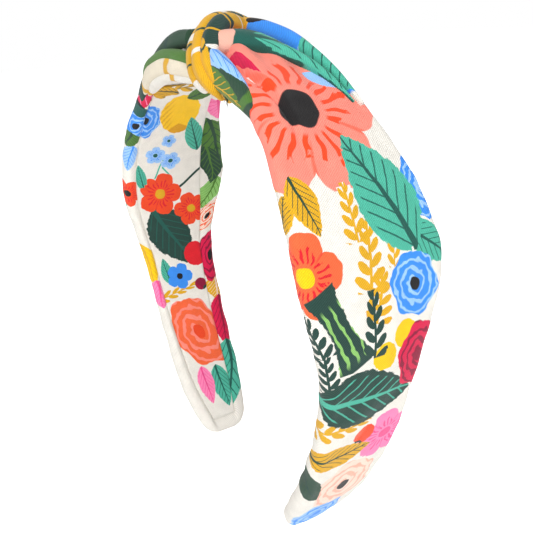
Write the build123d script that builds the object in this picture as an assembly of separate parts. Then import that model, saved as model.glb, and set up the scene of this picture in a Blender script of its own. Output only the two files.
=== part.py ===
from build123d import *

import os
from math import cos, radians, sin, tan

# A knotted fabric headband: a moulded spring band in a tied tube of printed cotton.
#
# The band is an arch in the XZ plane. The face that touches the head is a circle about the Y axis
# over the crown and a flatter arc down each leg. The origin is the centre of that circle, on the
# axis of the head that wears it. +Z points up through the knot, +X to the right leg and +Y to the
# back edge of the band.
#
# A place along the arch is an angle from the top, and a place through the cloth is an offset from
# the face that touches the head. The core is one moulded strip on the real object. Here it is cut
# at a knuckle on each side of the knot, where a hinge stands in for its bending.

# ---- the arch ----
HEAD_RADIUS = 62.0  # face that touches the head, over the crown
CROWN_ANGLE = 103.5  # where the circle ends, each side of the top, in degrees
LEG_RADIUS = 144.0  # the same face down each leg
TIP_ANGLE = 132.5  # where the cloth ends, in degrees
HINGE_ANGLE = 23.0  # the knuckle beside the knot, in degrees
FLEX_ANGLE = 10.0  # how far each leg opens, in degrees

# ---- thicknesses, from the head outwards ----
LINING_THICKNESS = 0.7
CLOTH_THICKNESS = 0.6
CORE_THICKNESS = 2.0
PADDING_THICKNESS = 1.2
LAYER_GAP = 0.05  # between one layer and the next

# ---- edges: (angle in degrees, front edge, back edge), each edge's distance from the XZ plane ----
# The cloth is swept a little to the back over the wings. The core isn't. The cloth's edges are given
# from the core's, so that a wider core has a wider cover.
CORE_WIDTH = 21.0
HALF_CORE = CORE_WIDTH / 2
COVER_EDGES = (
    (23.0, HALF_CORE + 2.5, HALF_CORE + 4.5),
    (40.0, HALF_CORE + 3.5, HALF_CORE + 6.5),
    (50.0, HALF_CORE + 5.1, HALF_CORE + 8.7),
    (60.0, HALF_CORE + 6.5, HALF_CORE + 10.9),
    (69.0, HALF_CORE + 7.1, HALF_CORE + 12.7),
    (76.0, HALF_CORE + 7.1, HALF_CORE + 13.7),
    (84.0, HALF_CORE + 6.3, HALF_CORE + 11.3),
    (94.0, HALF_CORE + 4.1, HALF_CORE + 7.7),
    (104.0, HALF_CORE + 2.3, HALF_CORE + 5.3),
    (114.0, HALF_CORE + 1.7, HALF_CORE + 4.1),
    (123.0, HALF_CORE + 1.5, HALF_CORE + 2.9),
    (128.5, HALF_CORE - 0.3, HALF_CORE + 0.5),
    (132.5, HALF_CORE - 4.0, HALF_CORE - 3.5),
)
LINING_EDGES = (
    (30.0, 11.0, 12.0),
    (45.0, 11.2, 12.6),
    (60.0, 12.6, 13.0),
    (76.0, 13.4, 13.2),
    (88.0, 12.4, 12.8),
    (100.0, 10.4, 10.6),
    (112.0, 9.2, 9.0),
    (124.0, 7.4, 7.5),
    (131.0, 4.5, 4.5),
)
LINING_START = 32.0
LINING_END = 130.0
RAW_EDGES = (  # of the cover's margins turned to the inside, under the lining
    (23.0, 7.0, 7.0),
    (60.0, 5.5, 8.5),
    (90.0, 5.5, 8.5),
    (105.0, 5.5, 6.5),
    (122.0, 4.0, 4.0),
    (132.5, 1.5, 1.5),
)
CORE_EDGES = (
    (23.0, HALF_CORE, HALF_CORE),
    (50.0, HALF_CORE, HALF_CORE),
    (80.0, HALF_CORE, HALF_CORE),
    (105.0, HALF_CORE, HALF_CORE),
    (119.0, HALF_CORE - 1.0, HALF_CORE - 1.0),
    (127.0, HALF_CORE - 3.0, HALF_CORE - 3.0),
    (131.0, HALF_CORE - 5.5, HALF_CORE - 5.5),
)
CORE_END = 129.0
PADDING_INSET = 2.6  # of its edge from the cover's edge
PADDING_START = 27.0
PADDING_END = 110.0

# ---- the knot ----
GATHER_HEIGHT = 6.0  # of the gathered cloth over the core
GATHER_WIDTH = 19.0  # on the left, where all of it runs into the knot
ROLL_WIDTH = 9.5  # of the middle roll on the right
SIDE_ROLL_DIAMETER = 4.6  # of the front and back rolls on the right
WRAP_TURN = 22.0  # of the wrap from straight across the band, in degrees
WRAP_WIDTH = 12.0
WRAP_THICKNESS = 3.0
WRAP_CORNER = 8.0  # radius of its shoulders
RAW_END_SPAN = (10.5, 19.0)  # of the cloth end under the knot, in degrees
RAW_END_WIDTH = 12.0
UNDER_WRAP_OFFSET = 0.55  # off the head seat, so that the knot doesn't carry the band
KNOT_GAP = 0.15  # between one strand and the next

# ---- fits ----
KNUCKLE_CLEARANCE = 0.06
LEG_GAP = 0.2  # left at a knuckle when the leg is fully open, in each half

# ---- worked out from those ----
HEM_OFFSET = LINING_THICKNESS + LAYER_GAP
CORE_OFFSET = HEM_OFFSET + CLOTH_THICKNESS + LAYER_GAP
CORE_OUTER = CORE_OFFSET + CORE_THICKNESS
HINGE_OFFSET = CORE_OFFSET + CORE_THICKNESS / 2
PADDING_OFFSET = CORE_OUTER + LAYER_GAP
SKIN_OFFSET = PADDING_OFFSET + PADDING_THICKNESS + LAYER_GAP
COVER_OUTER = SKIN_OFFSET + CLOTH_THICKNESS
GATHER_OUTER = PADDING_OFFSET + GATHER_HEIGHT
WIDEST = max(front + back for _, front, back in COVER_EDGES)
FAR = 4 * HEAD_RADIUS  # further than any part of the band
OVERRUN = (3.0, 1.5)  # of an outline past the top and the bottom of what it cuts, in degrees
OPEN_TOP = 1.0  # how far the inside of the cover runs out of its top, in degrees
OPEN_FACE = -1.0  # the offset where the inside of the cover runs out towards the head

# A leg that opens brings the top of its cover nearer to the knot, so half of that is left in each half.
OPENING = LEG_GAP + (COVER_OUTER - HINGE_OFFSET) * tan(radians(FLEX_ANGLE)) / 2
OPENING_ANGLE = OPENING / radians(HEAD_RADIUS)
KNOT_END = HINGE_ANGLE - OPENING_ANGLE
LEG_START = HINGE_ANGLE + OPENING_ANGLE


def outward(angle):
    """The way out from the head at this angle from the top."""
    return Vector(sin(radians(angle)), 0, cos(radians(angle)))


def place(angle, offset):
    """The point of the right half at this angle and this offset."""
    if angle <= CROWN_ANGLE:
        return outward(angle) * (HEAD_RADIUS + offset)
    leg_centre = outward(CROWN_ANGLE) * (HEAD_RADIUS - LEG_RADIUS)
    return leg_centre + outward(angle) * (LEG_RADIUS + offset)


def arch(start, end, offset):
    """The edges of the arch at one offset."""
    stops = [start, end]
    if start < CROWN_ANGLE < end:
        stops.insert(1, CROWN_ANGLE)
    edges = []
    for first, last in zip(stops, stops[1:]):
        middle = (first + last) / 2
        edges.append(ThreePointArc(place(first, offset), place(middle, offset), place(last, offset)))
    return edges


def profile(start, end, inner, outer, first_end):
    """The side view of a layer, closed by a given edge at its start and a straight one at its end."""
    last_end = Line(place(end, inner), place(end, outer))
    return Face(Wire([*arch(start, end, inner), *arch(start, end, outer), first_end, last_end]))


def layer(start, end, inner, outer, width):
    """A layer of the band: one width, between two angles and two offsets."""
    face = profile(start, end, inner, outer, Line(place(start, inner), place(start, outer)))
    return extrude(face, amount=width / 2, dir=(0, 1, 0), both=True)


def outline(edges, start, end, inset=0.0):
    """A prism along X between these edges, carried a little past the two angles."""
    first, last = edges[0], edges[-1]
    first_angle, last_angle = min(first[0], start) - OVERRUN[0], max(last[0], end) + OVERRUN[1]
    stations = [(first_angle, *first[1:]), *edges[1:-1], (last_angle, *last[1:])]
    heights = [place(angle, HINGE_OFFSET).Z for angle, _, _ in stations]
    front = [Vector(0, inset - edge, z) for (_, edge, _), z in zip(stations, heights)]
    back = [Vector(0, edge - inset, z) for (_, _, edge), z in zip(stations, heights)]
    top, bottom = Line(front[0], back[0]), Line(front[-1], back[-1])
    face = Face(Wire([Spline(*front), Spline(*back), top, bottom]))
    return extrude(face, amount=FAR, dir=(1, 0, 0))


def shaped(start, end, inner, outer, edges, inset=0.0):
    """A layer of the right leg cut to these edges."""
    return layer(start, end, inner, outer, 2 * WIDEST) & outline(edges, start, end, inset)


def leg_core():
    """The spring strip of one leg, with a round end on the hinge's axis."""
    back = outward(HINGE_ANGLE - 90) * (CORE_THICKNESS / 2)
    corners = [place(HINGE_ANGLE, offset) for offset in (CORE_OFFSET, CORE_OUTER)]
    knuckle = ThreePointArc(corners[0], place(HINGE_ANGLE, HINGE_OFFSET) + back, corners[1])
    face = profile(HINGE_ANGLE, CORE_END, CORE_OFFSET, CORE_OUTER, knuckle)
    strip = extrude(face, amount=WIDEST, dir=(0, 1, 0), both=True)
    return strip & outline(CORE_EDGES, HINGE_ANGLE, CORE_END)


def crown_core():
    """The spring strip under the knot, with a socket for each leg's round end."""
    strip = layer(-HINGE_ANGLE, HINGE_ANGLE, CORE_OFFSET, CORE_OUTER, CORE_WIDTH)
    pin = Cylinder(CORE_THICKNESS / 2 + KNUCKLE_CLEARANCE, 2 * WIDEST, rotation=(90, 0, 0))
    socket = pin.moved(Location(place(HINGE_ANGLE, HINGE_OFFSET)))
    return strip - socket - socket.mirror(Plane.YZ)


def padding():
    """The leaf of wadding that holds the wing flat."""
    outer = PADDING_OFFSET + PADDING_THICKNESS
    return shaped(PADDING_START, PADDING_END, PADDING_OFFSET, outer, COVER_EDGES, PADDING_INSET)


def cover():
    """The outer cloth of one leg, with its two edges and its closed tip."""
    body = shaped(LEG_START, TIP_ANGLE, HEM_OFFSET, COVER_OUTER, COVER_EDGES)
    tip_wall = CLOTH_THICKNESS / radians(LEG_RADIUS)
    ends = LEG_START - OPEN_TOP, TIP_ANGLE - tip_wall
    inside = shaped(*ends, OPEN_FACE, SKIN_OFFSET, COVER_EDGES, CLOTH_THICKNESS)
    return body - inside


def hem(side):
    """The cover's margin turned to the inside, at the front edge (-1) or the back edge (1)."""
    gap = LAYER_GAP + CLOTH_THICKNESS
    end = TIP_ANGLE - 2 * gap / radians(LEG_RADIUS)
    outer = HEM_OFFSET + CLOTH_THICKNESS
    whole = shaped(LEG_START, end, HEM_OFFSET, outer, COVER_EDGES, gap)
    turned = whole - outline(RAW_EDGES, LEG_START, end)
    return turned & Pos(0, side * WIDEST, 0) * Box(FAR, 2 * WIDEST, FAR)


def lining():
    """The strip glued over the raw edges of the hems, on the side of the head."""
    return shaped(LINING_START, LINING_END, 0, LINING_THICKNESS, LINING_EDGES)


def tip_tuck():
    """The cloth folded in at the tip, between the end of the core and the end of the cover."""
    start = CORE_END + 2 * LAYER_GAP / radians(LEG_RADIUS)
    end = TIP_ANGLE - (CLOTH_THICKNESS + LAYER_GAP) / radians(LEG_RADIUS)
    inset = CLOTH_THICKNESS + LAYER_GAP
    return shaped(start, end, CORE_OFFSET, CORE_OUTER, COVER_EDGES, inset)


def roll(start, end, across, height, side=0.0):
    """A roll of cloth over the core: an oval section turned about the head's axis."""
    section = Plane(
        origin=outward(start) * (HEAD_RADIUS + PADDING_OFFSET + height / 2) + Vector(0, side, 0),
        x_dir=outward(start),
        z_dir=outward(start - 90),
    )
    return revolve(section * Ellipse(height / 2, across / 2), Axis.Y, end - start)


def turned_block(length, width, low, high):
    """A block across the crown, turned as the wrap is."""
    middle = Pos(0, 0, (low + high) / 2)
    return Rot(0, 0, WRAP_TURN) * middle * Box(width, length, high - low)


def wrap_half_length():
    """Half the wrap's inside, from front to back: it clears the turned corners of the core."""
    reach = HALF_CORE + WRAP_WIDTH / 2 * sin(radians(WRAP_TURN))
    return reach / cos(radians(WRAP_TURN)) + KNOT_GAP


def wrap_block(grow, corner):
    """A block with rounded shoulders, this much larger than the inside of the wrap."""
    low = HEAD_RADIUS + HEM_OFFSET + CLOTH_THICKNESS + KNOT_GAP
    high = HEAD_RADIUS + GATHER_OUTER + KNOT_GAP + grow
    length = 2 * (wrap_half_length() + grow)
    width = WRAP_WIDTH + 2 * max(grow - WRAP_THICKNESS, 0)
    block = Pos(0, 0, (low + high) / 2) * Box(width, length, high - low)
    shoulders = block.edges().filter_by(Axis.X).group_by(Axis.Z)[-1]
    return Rot(0, 0, WRAP_TURN) * fillet(shoulders, corner)


def knot_wrap():
    """The pleated strand that crosses the top of the knot and comes down both edges of the band."""
    return wrap_block(WRAP_THICKNESS, WRAP_CORNER) - wrap_block(0, WRAP_CORNER - WRAP_THICKNESS)


def under_wrap():
    """The same strand under the core, flat against the head."""
    outer = HEM_OFFSET + CLOTH_THICKNESS
    flat = layer(-HINGE_ANGLE, HINGE_ANGLE, UNDER_WRAP_OFFSET, outer, 2 * WIDEST)
    length = 2 * (wrap_half_length() + WRAP_THICKNESS)
    return flat & turned_block(length, WRAP_WIDTH, 0, FAR)


def clear_of_wrap(strand):
    """What is left of a strand beside the wrap."""
    grown = wrap_block(WRAP_THICKNESS + KNOT_GAP, WRAP_CORNER + KNOT_GAP)
    return strand - grown


def left_gather():
    """The left wing's cloth, drawn together where it runs into the knot and under the wrap."""
    return roll(-KNOT_END, -KNOT_GAP, GATHER_WIDTH, GATHER_HEIGHT)


def middle_roll():
    """The middle strand of the right side, from under the wrap to the right wing."""
    return roll(KNOT_GAP, KNOT_END, ROLL_WIDTH, GATHER_HEIGHT)


def side_roll(side):
    """The strand along the front (-1) or back (1) of the right side, beside the middle one."""
    middle = (ROLL_WIDTH + SIDE_ROLL_DIAMETER) / 2 + KNOT_GAP
    strand = roll(0, KNOT_END, SIDE_ROLL_DIAMETER, SIDE_ROLL_DIAMETER, side * middle)
    beside = clear_of_wrap(strand)
    return beside.solids().sort_by(Axis.X)[-1]


def raw_end():
    """The frayed end of the cloth under the right side of the knot."""
    start, end = RAW_END_SPAN
    outer = HEM_OFFSET + CLOTH_THICKNESS
    flat = layer(start, end, HEM_OFFSET, outer, RAW_END_WIDTH)
    return flat - turned_block(2 * FAR, WRAP_WIDTH + 2 * KNOT_GAP, 0, FAR)


def save(name, solid):
    """Write one piece to its own file."""
    export_step(solid, os.path.join("parts", name + ".step"))


os.makedirs("parts", exist_ok=True)

save("crown_core", crown_core())
save("knot_left_gather", left_gather())
save("knot_middle_roll", middle_roll())
save("knot_front_roll", side_roll(-1))
save("knot_back_roll", side_roll(1))
save("knot_wrap", knot_wrap())
save("knot_under_wrap", under_wrap())
save("knot_raw_end", raw_end())

LEG_PIECES = {
    "core": leg_core(),
    "padding": padding(),
    "cover": cover(),
    "front_hem": hem(-1),
    "back_hem": hem(1),
    "lining": lining(),
    "tip_tuck": tip_tuck(),
}
for name, piece in LEG_PIECES.items():
    save("right_" + name, piece)
    save("left_" + name, piece.mirror(Plane.YZ))
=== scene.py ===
import logging
from collections.abc import Callable
from dataclasses import dataclass, field
from enum import Enum, IntEnum
from math import cos, exp, pi, radians, sin

import bmesh
import bpy
import numpy as np
from mathutils import Matrix, Vector, noise


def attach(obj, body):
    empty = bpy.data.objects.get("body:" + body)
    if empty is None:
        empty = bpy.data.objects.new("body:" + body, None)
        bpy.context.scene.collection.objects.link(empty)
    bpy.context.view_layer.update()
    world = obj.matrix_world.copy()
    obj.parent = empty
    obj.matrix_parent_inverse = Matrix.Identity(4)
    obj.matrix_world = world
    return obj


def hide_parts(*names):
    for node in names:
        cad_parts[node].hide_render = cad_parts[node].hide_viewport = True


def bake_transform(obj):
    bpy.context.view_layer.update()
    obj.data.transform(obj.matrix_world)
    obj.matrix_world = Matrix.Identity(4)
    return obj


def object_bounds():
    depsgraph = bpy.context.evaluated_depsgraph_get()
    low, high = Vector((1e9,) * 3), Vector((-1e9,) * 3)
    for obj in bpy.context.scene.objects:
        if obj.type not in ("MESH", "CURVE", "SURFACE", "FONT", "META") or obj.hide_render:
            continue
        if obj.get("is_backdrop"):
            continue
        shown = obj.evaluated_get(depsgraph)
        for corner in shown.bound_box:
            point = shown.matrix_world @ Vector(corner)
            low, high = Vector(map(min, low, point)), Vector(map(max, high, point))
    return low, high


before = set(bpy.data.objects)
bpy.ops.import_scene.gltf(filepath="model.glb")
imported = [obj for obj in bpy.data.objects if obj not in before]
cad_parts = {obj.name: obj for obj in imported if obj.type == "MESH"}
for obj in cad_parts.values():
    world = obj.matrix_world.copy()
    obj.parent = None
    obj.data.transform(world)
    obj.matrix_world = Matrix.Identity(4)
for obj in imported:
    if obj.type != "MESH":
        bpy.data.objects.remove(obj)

log = logging.getLogger("headband")
MM = 0.001
Colour = tuple[float, float, float]
Spot = tuple[float, float, float]  # across, depth and the cloth's own distance across
Drawn = tuple[bpy.types.NodeSocket, bpy.types.NodeSocket]  # a drawing's colour and its mask
Value = bpy.types.NodeSocket | Colour | float  # what a node's input takes
Shares = Callable[[float, float], Vector | tuple[float, float]]  # read from two shares from 0 to 1


def rgb(code: str) -> Colour:
    """The linear colour of a six-figure dye code.

    Args:
        code: Two hexadecimal figures each for red, green and blue.

    Returns:
        The colour.
    """
    parts = [int(code[i:i + 2], 16) / 255 for i in (0, 2, 4)]
    return tuple(c / 12.92 if c <= 0.04045 else ((c + 0.055) / 1.055) ** 2.4 for c in parts)


class Dye(Enum):
    """The inks of the cotton print."""

    OFF_WHITE = rgb("ece8df")
    CORAL = rgb("ff8d7c")
    CORAL_RED = rgb("ff4a20")
    BLACK = rgb("1d1b1c")
    TEAL = rgb("4db59c")
    DEEP_TEAL = rgb("1f5a50")
    BOTTLE = rgb("24443c")
    MUSTARD = rgb("dfa91f")
    OLIVE = rgb("4f7a34")
    DARK_GREEN = rgb("2c4a38")
    LIGHT_GREEN = rgb("8cc36a")
    SKY = rgb("9cc8fb")
    BLUE = rgb("3b8ff0")
    RED_ORANGE = rgb("f04a22")
    ORANGE = rgb("f8683c")
    RED = rgb("e01f2c")
    YELLOW = rgb("f7c90f")
    CRIMSON = rgb("d8174b")
    DARK_CRIMSON = rgb("8d1038")
    PINK = rgb("ff86b8")
    HOT_PINK = rgb("f2508f")
    PEACH = rgb("fbdccb")
    PEACH_LINE = rgb("f6b9a2")
    BEIGE = rgb("e9d9c9")
    CREAM = rgb("eadfc9")
    TAN = rgb("efb4a0")
    PEAR = rgb("fcc81a")
    PEAR_SHADE = rgb("dc9d12")


class Drawing(IntEnum):
    """The drawings that the print repeats."""

    NONE = 0
    FLOWER = 1
    ROSE = 2
    LEAF = 3
    SPRIG = 4
    BUD = 5
    STALK = 6
    PATCH = 7
    STEM = 8


@dataclass(frozen=True)
class Motif:
    """One drawing on the cloth: its centre and half sizes in millimetres, its turn in degrees, its inks."""

    drawing: Drawing
    run: float
    across: float
    turn: float
    length: float
    breadth: float
    ink: Dye
    line: Dye
    layer: int
    heart: Dye = Dye.BLACK


def smooth(x: float) -> float:
    """Nought below 0, one above 1 and an even turn between them."""
    x = min(max(x, 0.0), 1.0)
    return x * x * (3 - 2 * x)


def bell(x: float) -> float:
    """A bump one high and about two wide, centred on 0."""
    return exp(-x * x)


def eased(run: float, start: float, length: float) -> float:
    """Nought before the start and one a length after it."""
    return smooth((run - start) / length)


def ripple(a: float, b: float, seed: float) -> float:
    """Smooth noise between -1 and 1."""
    return noise.noise(Vector((a, b, seed)))


@dataclass(frozen=True)
class Profile:
    """Sizes given at stations, with a smooth line through them."""

    stations: tuple[tuple[float, ...], ...]

    def at(self, x: float) -> tuple[float, ...]:
        """The sizes at one place.

        Args:
            x: The place, in the units of the stations' first numbers.

        Returns:
            One number for each size.
        """
        rows = self.stations
        if x <= rows[0][0]:
            return rows[0][1:]
        if x >= rows[-1][0]:
            return rows[-1][1:]
        k = max(i for i, row in enumerate(rows) if row[0] <= x)
        a, b = rows[k], rows[k + 1]
        before, after = rows[max(k - 1, 0)], rows[min(k + 2, len(rows) - 1)]
        t = (x - a[0]) / (b[0] - a[0])
        out = []
        for i in range(1, len(a)):
            slope_a = (b[i] - before[i]) / (b[0] - before[0]) * (b[0] - a[0])
            slope_b = (after[i] - a[i]) / (after[0] - a[0]) * (b[0] - a[0])
            out.append(
                a[i] * (2 * t**3 - 3 * t**2 + 1) + slope_a * (t**3 - 2 * t**2 + t)
                + b[i] * (3 * t**2 - 2 * t**3) + slope_b * (t**3 - t**2)
            )
        return tuple(out)


@dataclass(frozen=True)
class Arch:
    """The line of the band: a circle over the crown and a flatter arc down each leg, in millimetres."""

    head_radius: float = 62.0
    crown_angle: float = 103.5
    leg_radius: float = 144.0
    middle: float = 2.65  # the offset at which a run along the band is measured

    def angle(self, run: float) -> float:
        """The angle from the top of a place.

        Args:
            run: How far along the band it is, in millimetres.

        Returns:
            The angle, in degrees.
        """
        crown = (self.head_radius + self.middle) * radians(self.crown_angle)
        if run <= crown:
            return run / radians(self.head_radius + self.middle)
        return self.crown_angle + (run - crown) / radians(self.leg_radius + self.middle)

    def point(self, side: float, angle: float, across: float, offset: float) -> Vector:
        """A point of the band.

        Args:
            side: 1 for the right leg, -1 for the left.
            angle: The angle from the top, in degrees.
            across: The distance towards the back edge.
            offset: The distance out from the face that touches the head.

        Returns:
            The point, in millimetres.
        """
        turn = radians(angle)
        if angle <= self.crown_angle:
            reach = self.head_radius + offset
            return Vector((side * reach * sin(turn), across, reach * cos(turn)))
        end = radians(self.crown_angle)
        shift = self.head_radius - self.leg_radius
        reach = self.leg_radius + offset
        sideways = shift * sin(end) + reach * sin(turn)
        return Vector((side * sideways, across, shift * cos(end) + reach * cos(turn)))


ARCH = Arch()
CORE_MIDDLE = 2.6  # the offset of the line that the knot's strands stand out from


@dataclass
class Cloth:
    """A mesh made from a mapped grid, with its cloth coordinates in millimetres."""

    name: str
    bm: bmesh.types.BMesh

    @classmethod
    def mapped(cls, name: str, around: int, along: int, place: Shares, cloth: Shares) -> "Cloth":
        """A closed tube from a grid.

        Args:
            name: The piece's name.
            around: Faces round the tube.
            along: Faces along it.
            place: Gives the point, in millimetres, for two shares from 0 to 1.
            cloth: Gives the cloth coordinates for the same two shares.

        Returns:
            The cloth.
        """
        bm = bmesh.new()
        bmesh.ops.create_grid(bm, x_segments=around, y_segments=along, size=0.5)
        layer = bm.loops.layers.uv.new("cloth")
        shares = {v: (v.co.x + 0.5, v.co.y + 0.5) for v in bm.verts}
        for face in bm.faces:
            for loop in face.loops:
                loop[layer].uv = cloth(*shares[loop.vert])
        for v, share in shares.items():
            v.co = place(*share) * MM
        rim = [v for v in bm.verts if v.is_boundary]
        bmesh.ops.remove_doubles(bm, verts=rim, dist=1e-7)
        bmesh.ops.holes_fill(bm, edges=[e for e in bm.edges if e.is_boundary], sides=0)
        bmesh.ops.triangulate(bm, faces=[f for f in bm.faces if len(f.verts) > 4])
        bmesh.ops.recalc_face_normals(bm, faces=bm.faces)
        return cls(name, bm)

    def finish(self, print_: "Print") -> bpy.types.Object:
        """The finished object, printed.

        Args:
            print_: The motifs on this cloth.

        Returns:
            The object, at the origin.
        """
        mesh = bpy.data.meshes.new(self.name)
        self.bm.to_mesh(mesh)
        self.bm.free()
        for polygon in mesh.polygons:
            polygon.use_smooth = True
        print_.lay(mesh)
        piece = bpy.data.objects.new(self.name, mesh)
        bpy.context.scene.collection.objects.link(piece)
        return piece


LAYERS = 3  # of drawings, each over the one before
REACH = 1.25  # how far a drawing may spill past its half sizes
OFF_DRAWING = 5.0  # a place outside every drawing


@dataclass(frozen=True)
class Print:
    """Where each drawing lies on one piece of cloth."""

    motifs: tuple[Motif, ...] = ()

    def lay(self, mesh: bpy.types.Mesh) -> None:
        """Write the drawings' own coordinates and inks onto a mesh that has cloth coordinates.

        Args:
            mesh: The mesh, with a UV map named cloth.
        """
        corners = np.zeros(len(mesh.loops) * 2, np.float32)
        mesh.uv_layers["cloth"].data.foreach_get("uv", corners)
        corners = corners.reshape(-1, 2)
        totals = np.zeros(len(mesh.polygons), np.int32)
        starts = np.zeros(len(mesh.polygons), np.int32)
        mesh.polygons.foreach_get("loop_total", totals)
        mesh.polygons.foreach_get("loop_start", starts)
        centres = np.add.reduceat(corners, starts, axis=0) / totals[:, None]
        face_of = np.repeat(np.arange(len(totals)), totals)
        for layer in range(LAYERS):
            chosen = [m for m in self.motifs if m.layer == layer]
            nearest = np.full(len(totals), -1)
            best = np.full(len(totals), REACH)
            frames = []
            for i, motif in enumerate(chosen):
                turn = radians(motif.turn)
                along = np.array((cos(turn), sin(turn))) / motif.length
                across = np.array((-sin(turn), cos(turn))) / motif.breadth
                origin = np.array((motif.run, motif.across))
                frames.append((along, across, origin))
                local = np.stack(((centres - origin) @ along, (centres - origin) @ across), 1)
                reach = np.hypot(local[:, 0], local[:, 1])
                closer = reach < best
                nearest[closer] = i
                best[closer] = reach[closer]
            uv = np.full_like(corners, OFF_DRAWING)
            kinds = np.zeros(len(totals), np.float32)
            inks = {name: np.ones((len(totals), 4), np.float32) for name in ("ink", "line", "heart")}
            for i, (motif, (along, across, origin)) in enumerate(zip(chosen, frames)):
                faces = nearest == i
                loops = faces[face_of]
                uv[loops, 0] = (corners[loops] - origin) @ along
                uv[loops, 1] = (corners[loops] - origin) @ across
                kinds[faces] = motif.drawing
                for name, values in inks.items():
                    values[faces, :3] = getattr(motif, name).value
            mesh.uv_layers.new(name=f"drawing_{layer}").data.foreach_set("uv", uv.ravel())
            mesh.attributes.new(f"kind_{layer}", "FLOAT", "FACE").data.foreach_set("value", kinds)
            for name, values in inks.items():
                attribute = mesh.attributes.new(f"{name}_{layer}", "FLOAT_COLOR", "FACE")
                attribute.data.foreach_set("color", values.ravel())


class Graph:
    """A node tree with short calls for the nodes that the finishes use."""

    def __init__(self, tree: bpy.types.NodeTree) -> None:
        """Take a node tree to build in."""
        self.tree = tree

    def node(self, kind: str, **settings) -> bpy.types.Node:
        """A new node.

        Args:
            kind: The node's type.
            settings: Its settings by name.

        Returns:
            The node.
        """
        made = self.tree.nodes.new(kind)
        for name, value in settings.items():
            setattr(made, name, value)
        return made

    def feed(self, socket: bpy.types.NodeSocket, value: Value) -> None:
        """Link or set one input.

        Args:
            socket: The input.
            value: Another node's output, a number or a colour.
        """
        if isinstance(value, bpy.types.NodeSocket):
            self.tree.links.new(value, socket)
        elif isinstance(value, tuple) and len(value) == 3 and socket.type == "RGBA":
            socket.default_value = (*value, 1)
        else:
            socket.default_value = value

    def math(self, operation: str, *values: Value) -> bpy.types.NodeSocket:
        """The result of one sum.

        Args:
            operation: The sum, in the node's own words.
            values: Numbers or sockets, in the node's order.

        Returns:
            The result.
        """
        made = self.node("ShaderNodeMath", operation=operation)
        for socket, value in zip(made.inputs, values):
            self.feed(socket, value)
        return made.outputs[0]

    def scaled(self, value: Value, factor: Value, shift: Value) -> bpy.types.NodeSocket:
        """A value times a factor, plus a shift."""
        return self.math("MULTIPLY_ADD", value, factor, shift)

    def times(self, first: Value, second: Value) -> bpy.types.NodeSocket:
        """The product of two values."""
        return self.math("MULTIPLY", first, second)

    def plus(self, first: Value, second: Value) -> bpy.types.NodeSocket:
        """The sum of two values."""
        return self.math("ADD", first, second)

    def minus(self, first: Value, second: Value) -> bpy.types.NodeSocket:
        """The first value less the second."""
        return self.math("SUBTRACT", first, second)

    def over(self, first: Value, second: Value) -> bpy.types.NodeSocket:
        """The first value divided by the second."""
        return self.math("DIVIDE", first, second)

    def size(self, value: Value) -> bpy.types.NodeSocket:
        """A value without its sign."""
        return self.math("ABSOLUTE", value)

    def step(self, value: Value, low: float, high: float) -> bpy.types.NodeSocket:
        """A soft step.

        Args:
            value: What is measured.
            low: Where the step is 0.
            high: Where it is 1.

        Returns:
            The step.
        """
        made = self.node("ShaderNodeMapRange", interpolation_type="SMOOTHSTEP")
        for socket, number in zip(made.inputs, (value, low, high, 0.0, 1.0)):
            self.feed(socket, number)
        return made.outputs[0]

    def blend(self, share: Value, first: Value, second: Value, mode: str = "MIX") -> bpy.types.NodeSocket:
        """Two colours mixed.

        Args:
            share: How much of the second shows, from 0 to 1.
            first: The colour underneath.
            second: The colour on top.
            mode: How they mix, in the node's own words.

        Returns:
            The mixed colour.
        """
        made = self.node("ShaderNodeMix", data_type="RGBA", blend_type=mode)
        self.feed(made.inputs[0], share)
        self.feed(made.inputs[6], first)
        self.feed(made.inputs[7], second)
        return made.outputs[2]

    def grey(self, value: Value) -> bpy.types.NodeSocket:
        """A colour with the same value in all three parts.

        Args:
            value: The value.

        Returns:
            The colour.
        """
        made = self.node("ShaderNodeCombineColor")
        for socket in made.inputs:
            self.feed(socket, value)
        return made.outputs[0]

    def grain(self, vector: bpy.types.NodeSocket, scale: float, detail: float) -> bpy.types.NodeSocket:
        """Smooth noise about 0.5.

        Args:
            vector: Where it is read.
            scale: How fine it is.
            detail: How many finer layers it has.

        Returns:
            The noise.
        """
        made = self.node("ShaderNodeTexNoise")
        self.feed(made.inputs["Vector"], vector)
        self.feed(made.inputs["Scale"], scale)
        self.feed(made.inputs["Detail"], detail)
        return made.outputs[0]

    def split(self, vector: bpy.types.NodeSocket) -> tuple[bpy.types.NodeSocket, bpy.types.NodeSocket]:
        """The first two parts of a vector.

        Args:
            vector: The vector.

        Returns:
            Its first part and its second part.
        """
        made = self.node("ShaderNodeSeparateXYZ")
        self.feed(made.inputs[0], vector)
        return made.outputs[0], made.outputs[1]


def new_group(name: str, inputs: dict[str, str], outputs: dict[str, str]) -> tuple[Graph, dict, dict]:
    """An empty node group.

    Args:
        name: The group's name.
        inputs: Socket types by input name.
        outputs: Socket types by output name.

    Returns:
        Its graph, its input sockets by name and its output sockets by name.
    """
    tree = bpy.data.node_groups.new(name, "ShaderNodeTree")
    for label, kind in inputs.items():
        tree.interface.new_socket(label, in_out="INPUT", socket_type=kind)
    for label, kind in outputs.items():
        tree.interface.new_socket(label, in_out="OUTPUT", socket_type=kind)
    source, sink = tree.nodes.new("NodeGroupInput"), tree.nodes.new("NodeGroupOutput")
    graph = Graph(tree)
    return graph, {n: source.outputs[n] for n in inputs}, {n: sink.inputs[n] for n in outputs}


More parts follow.
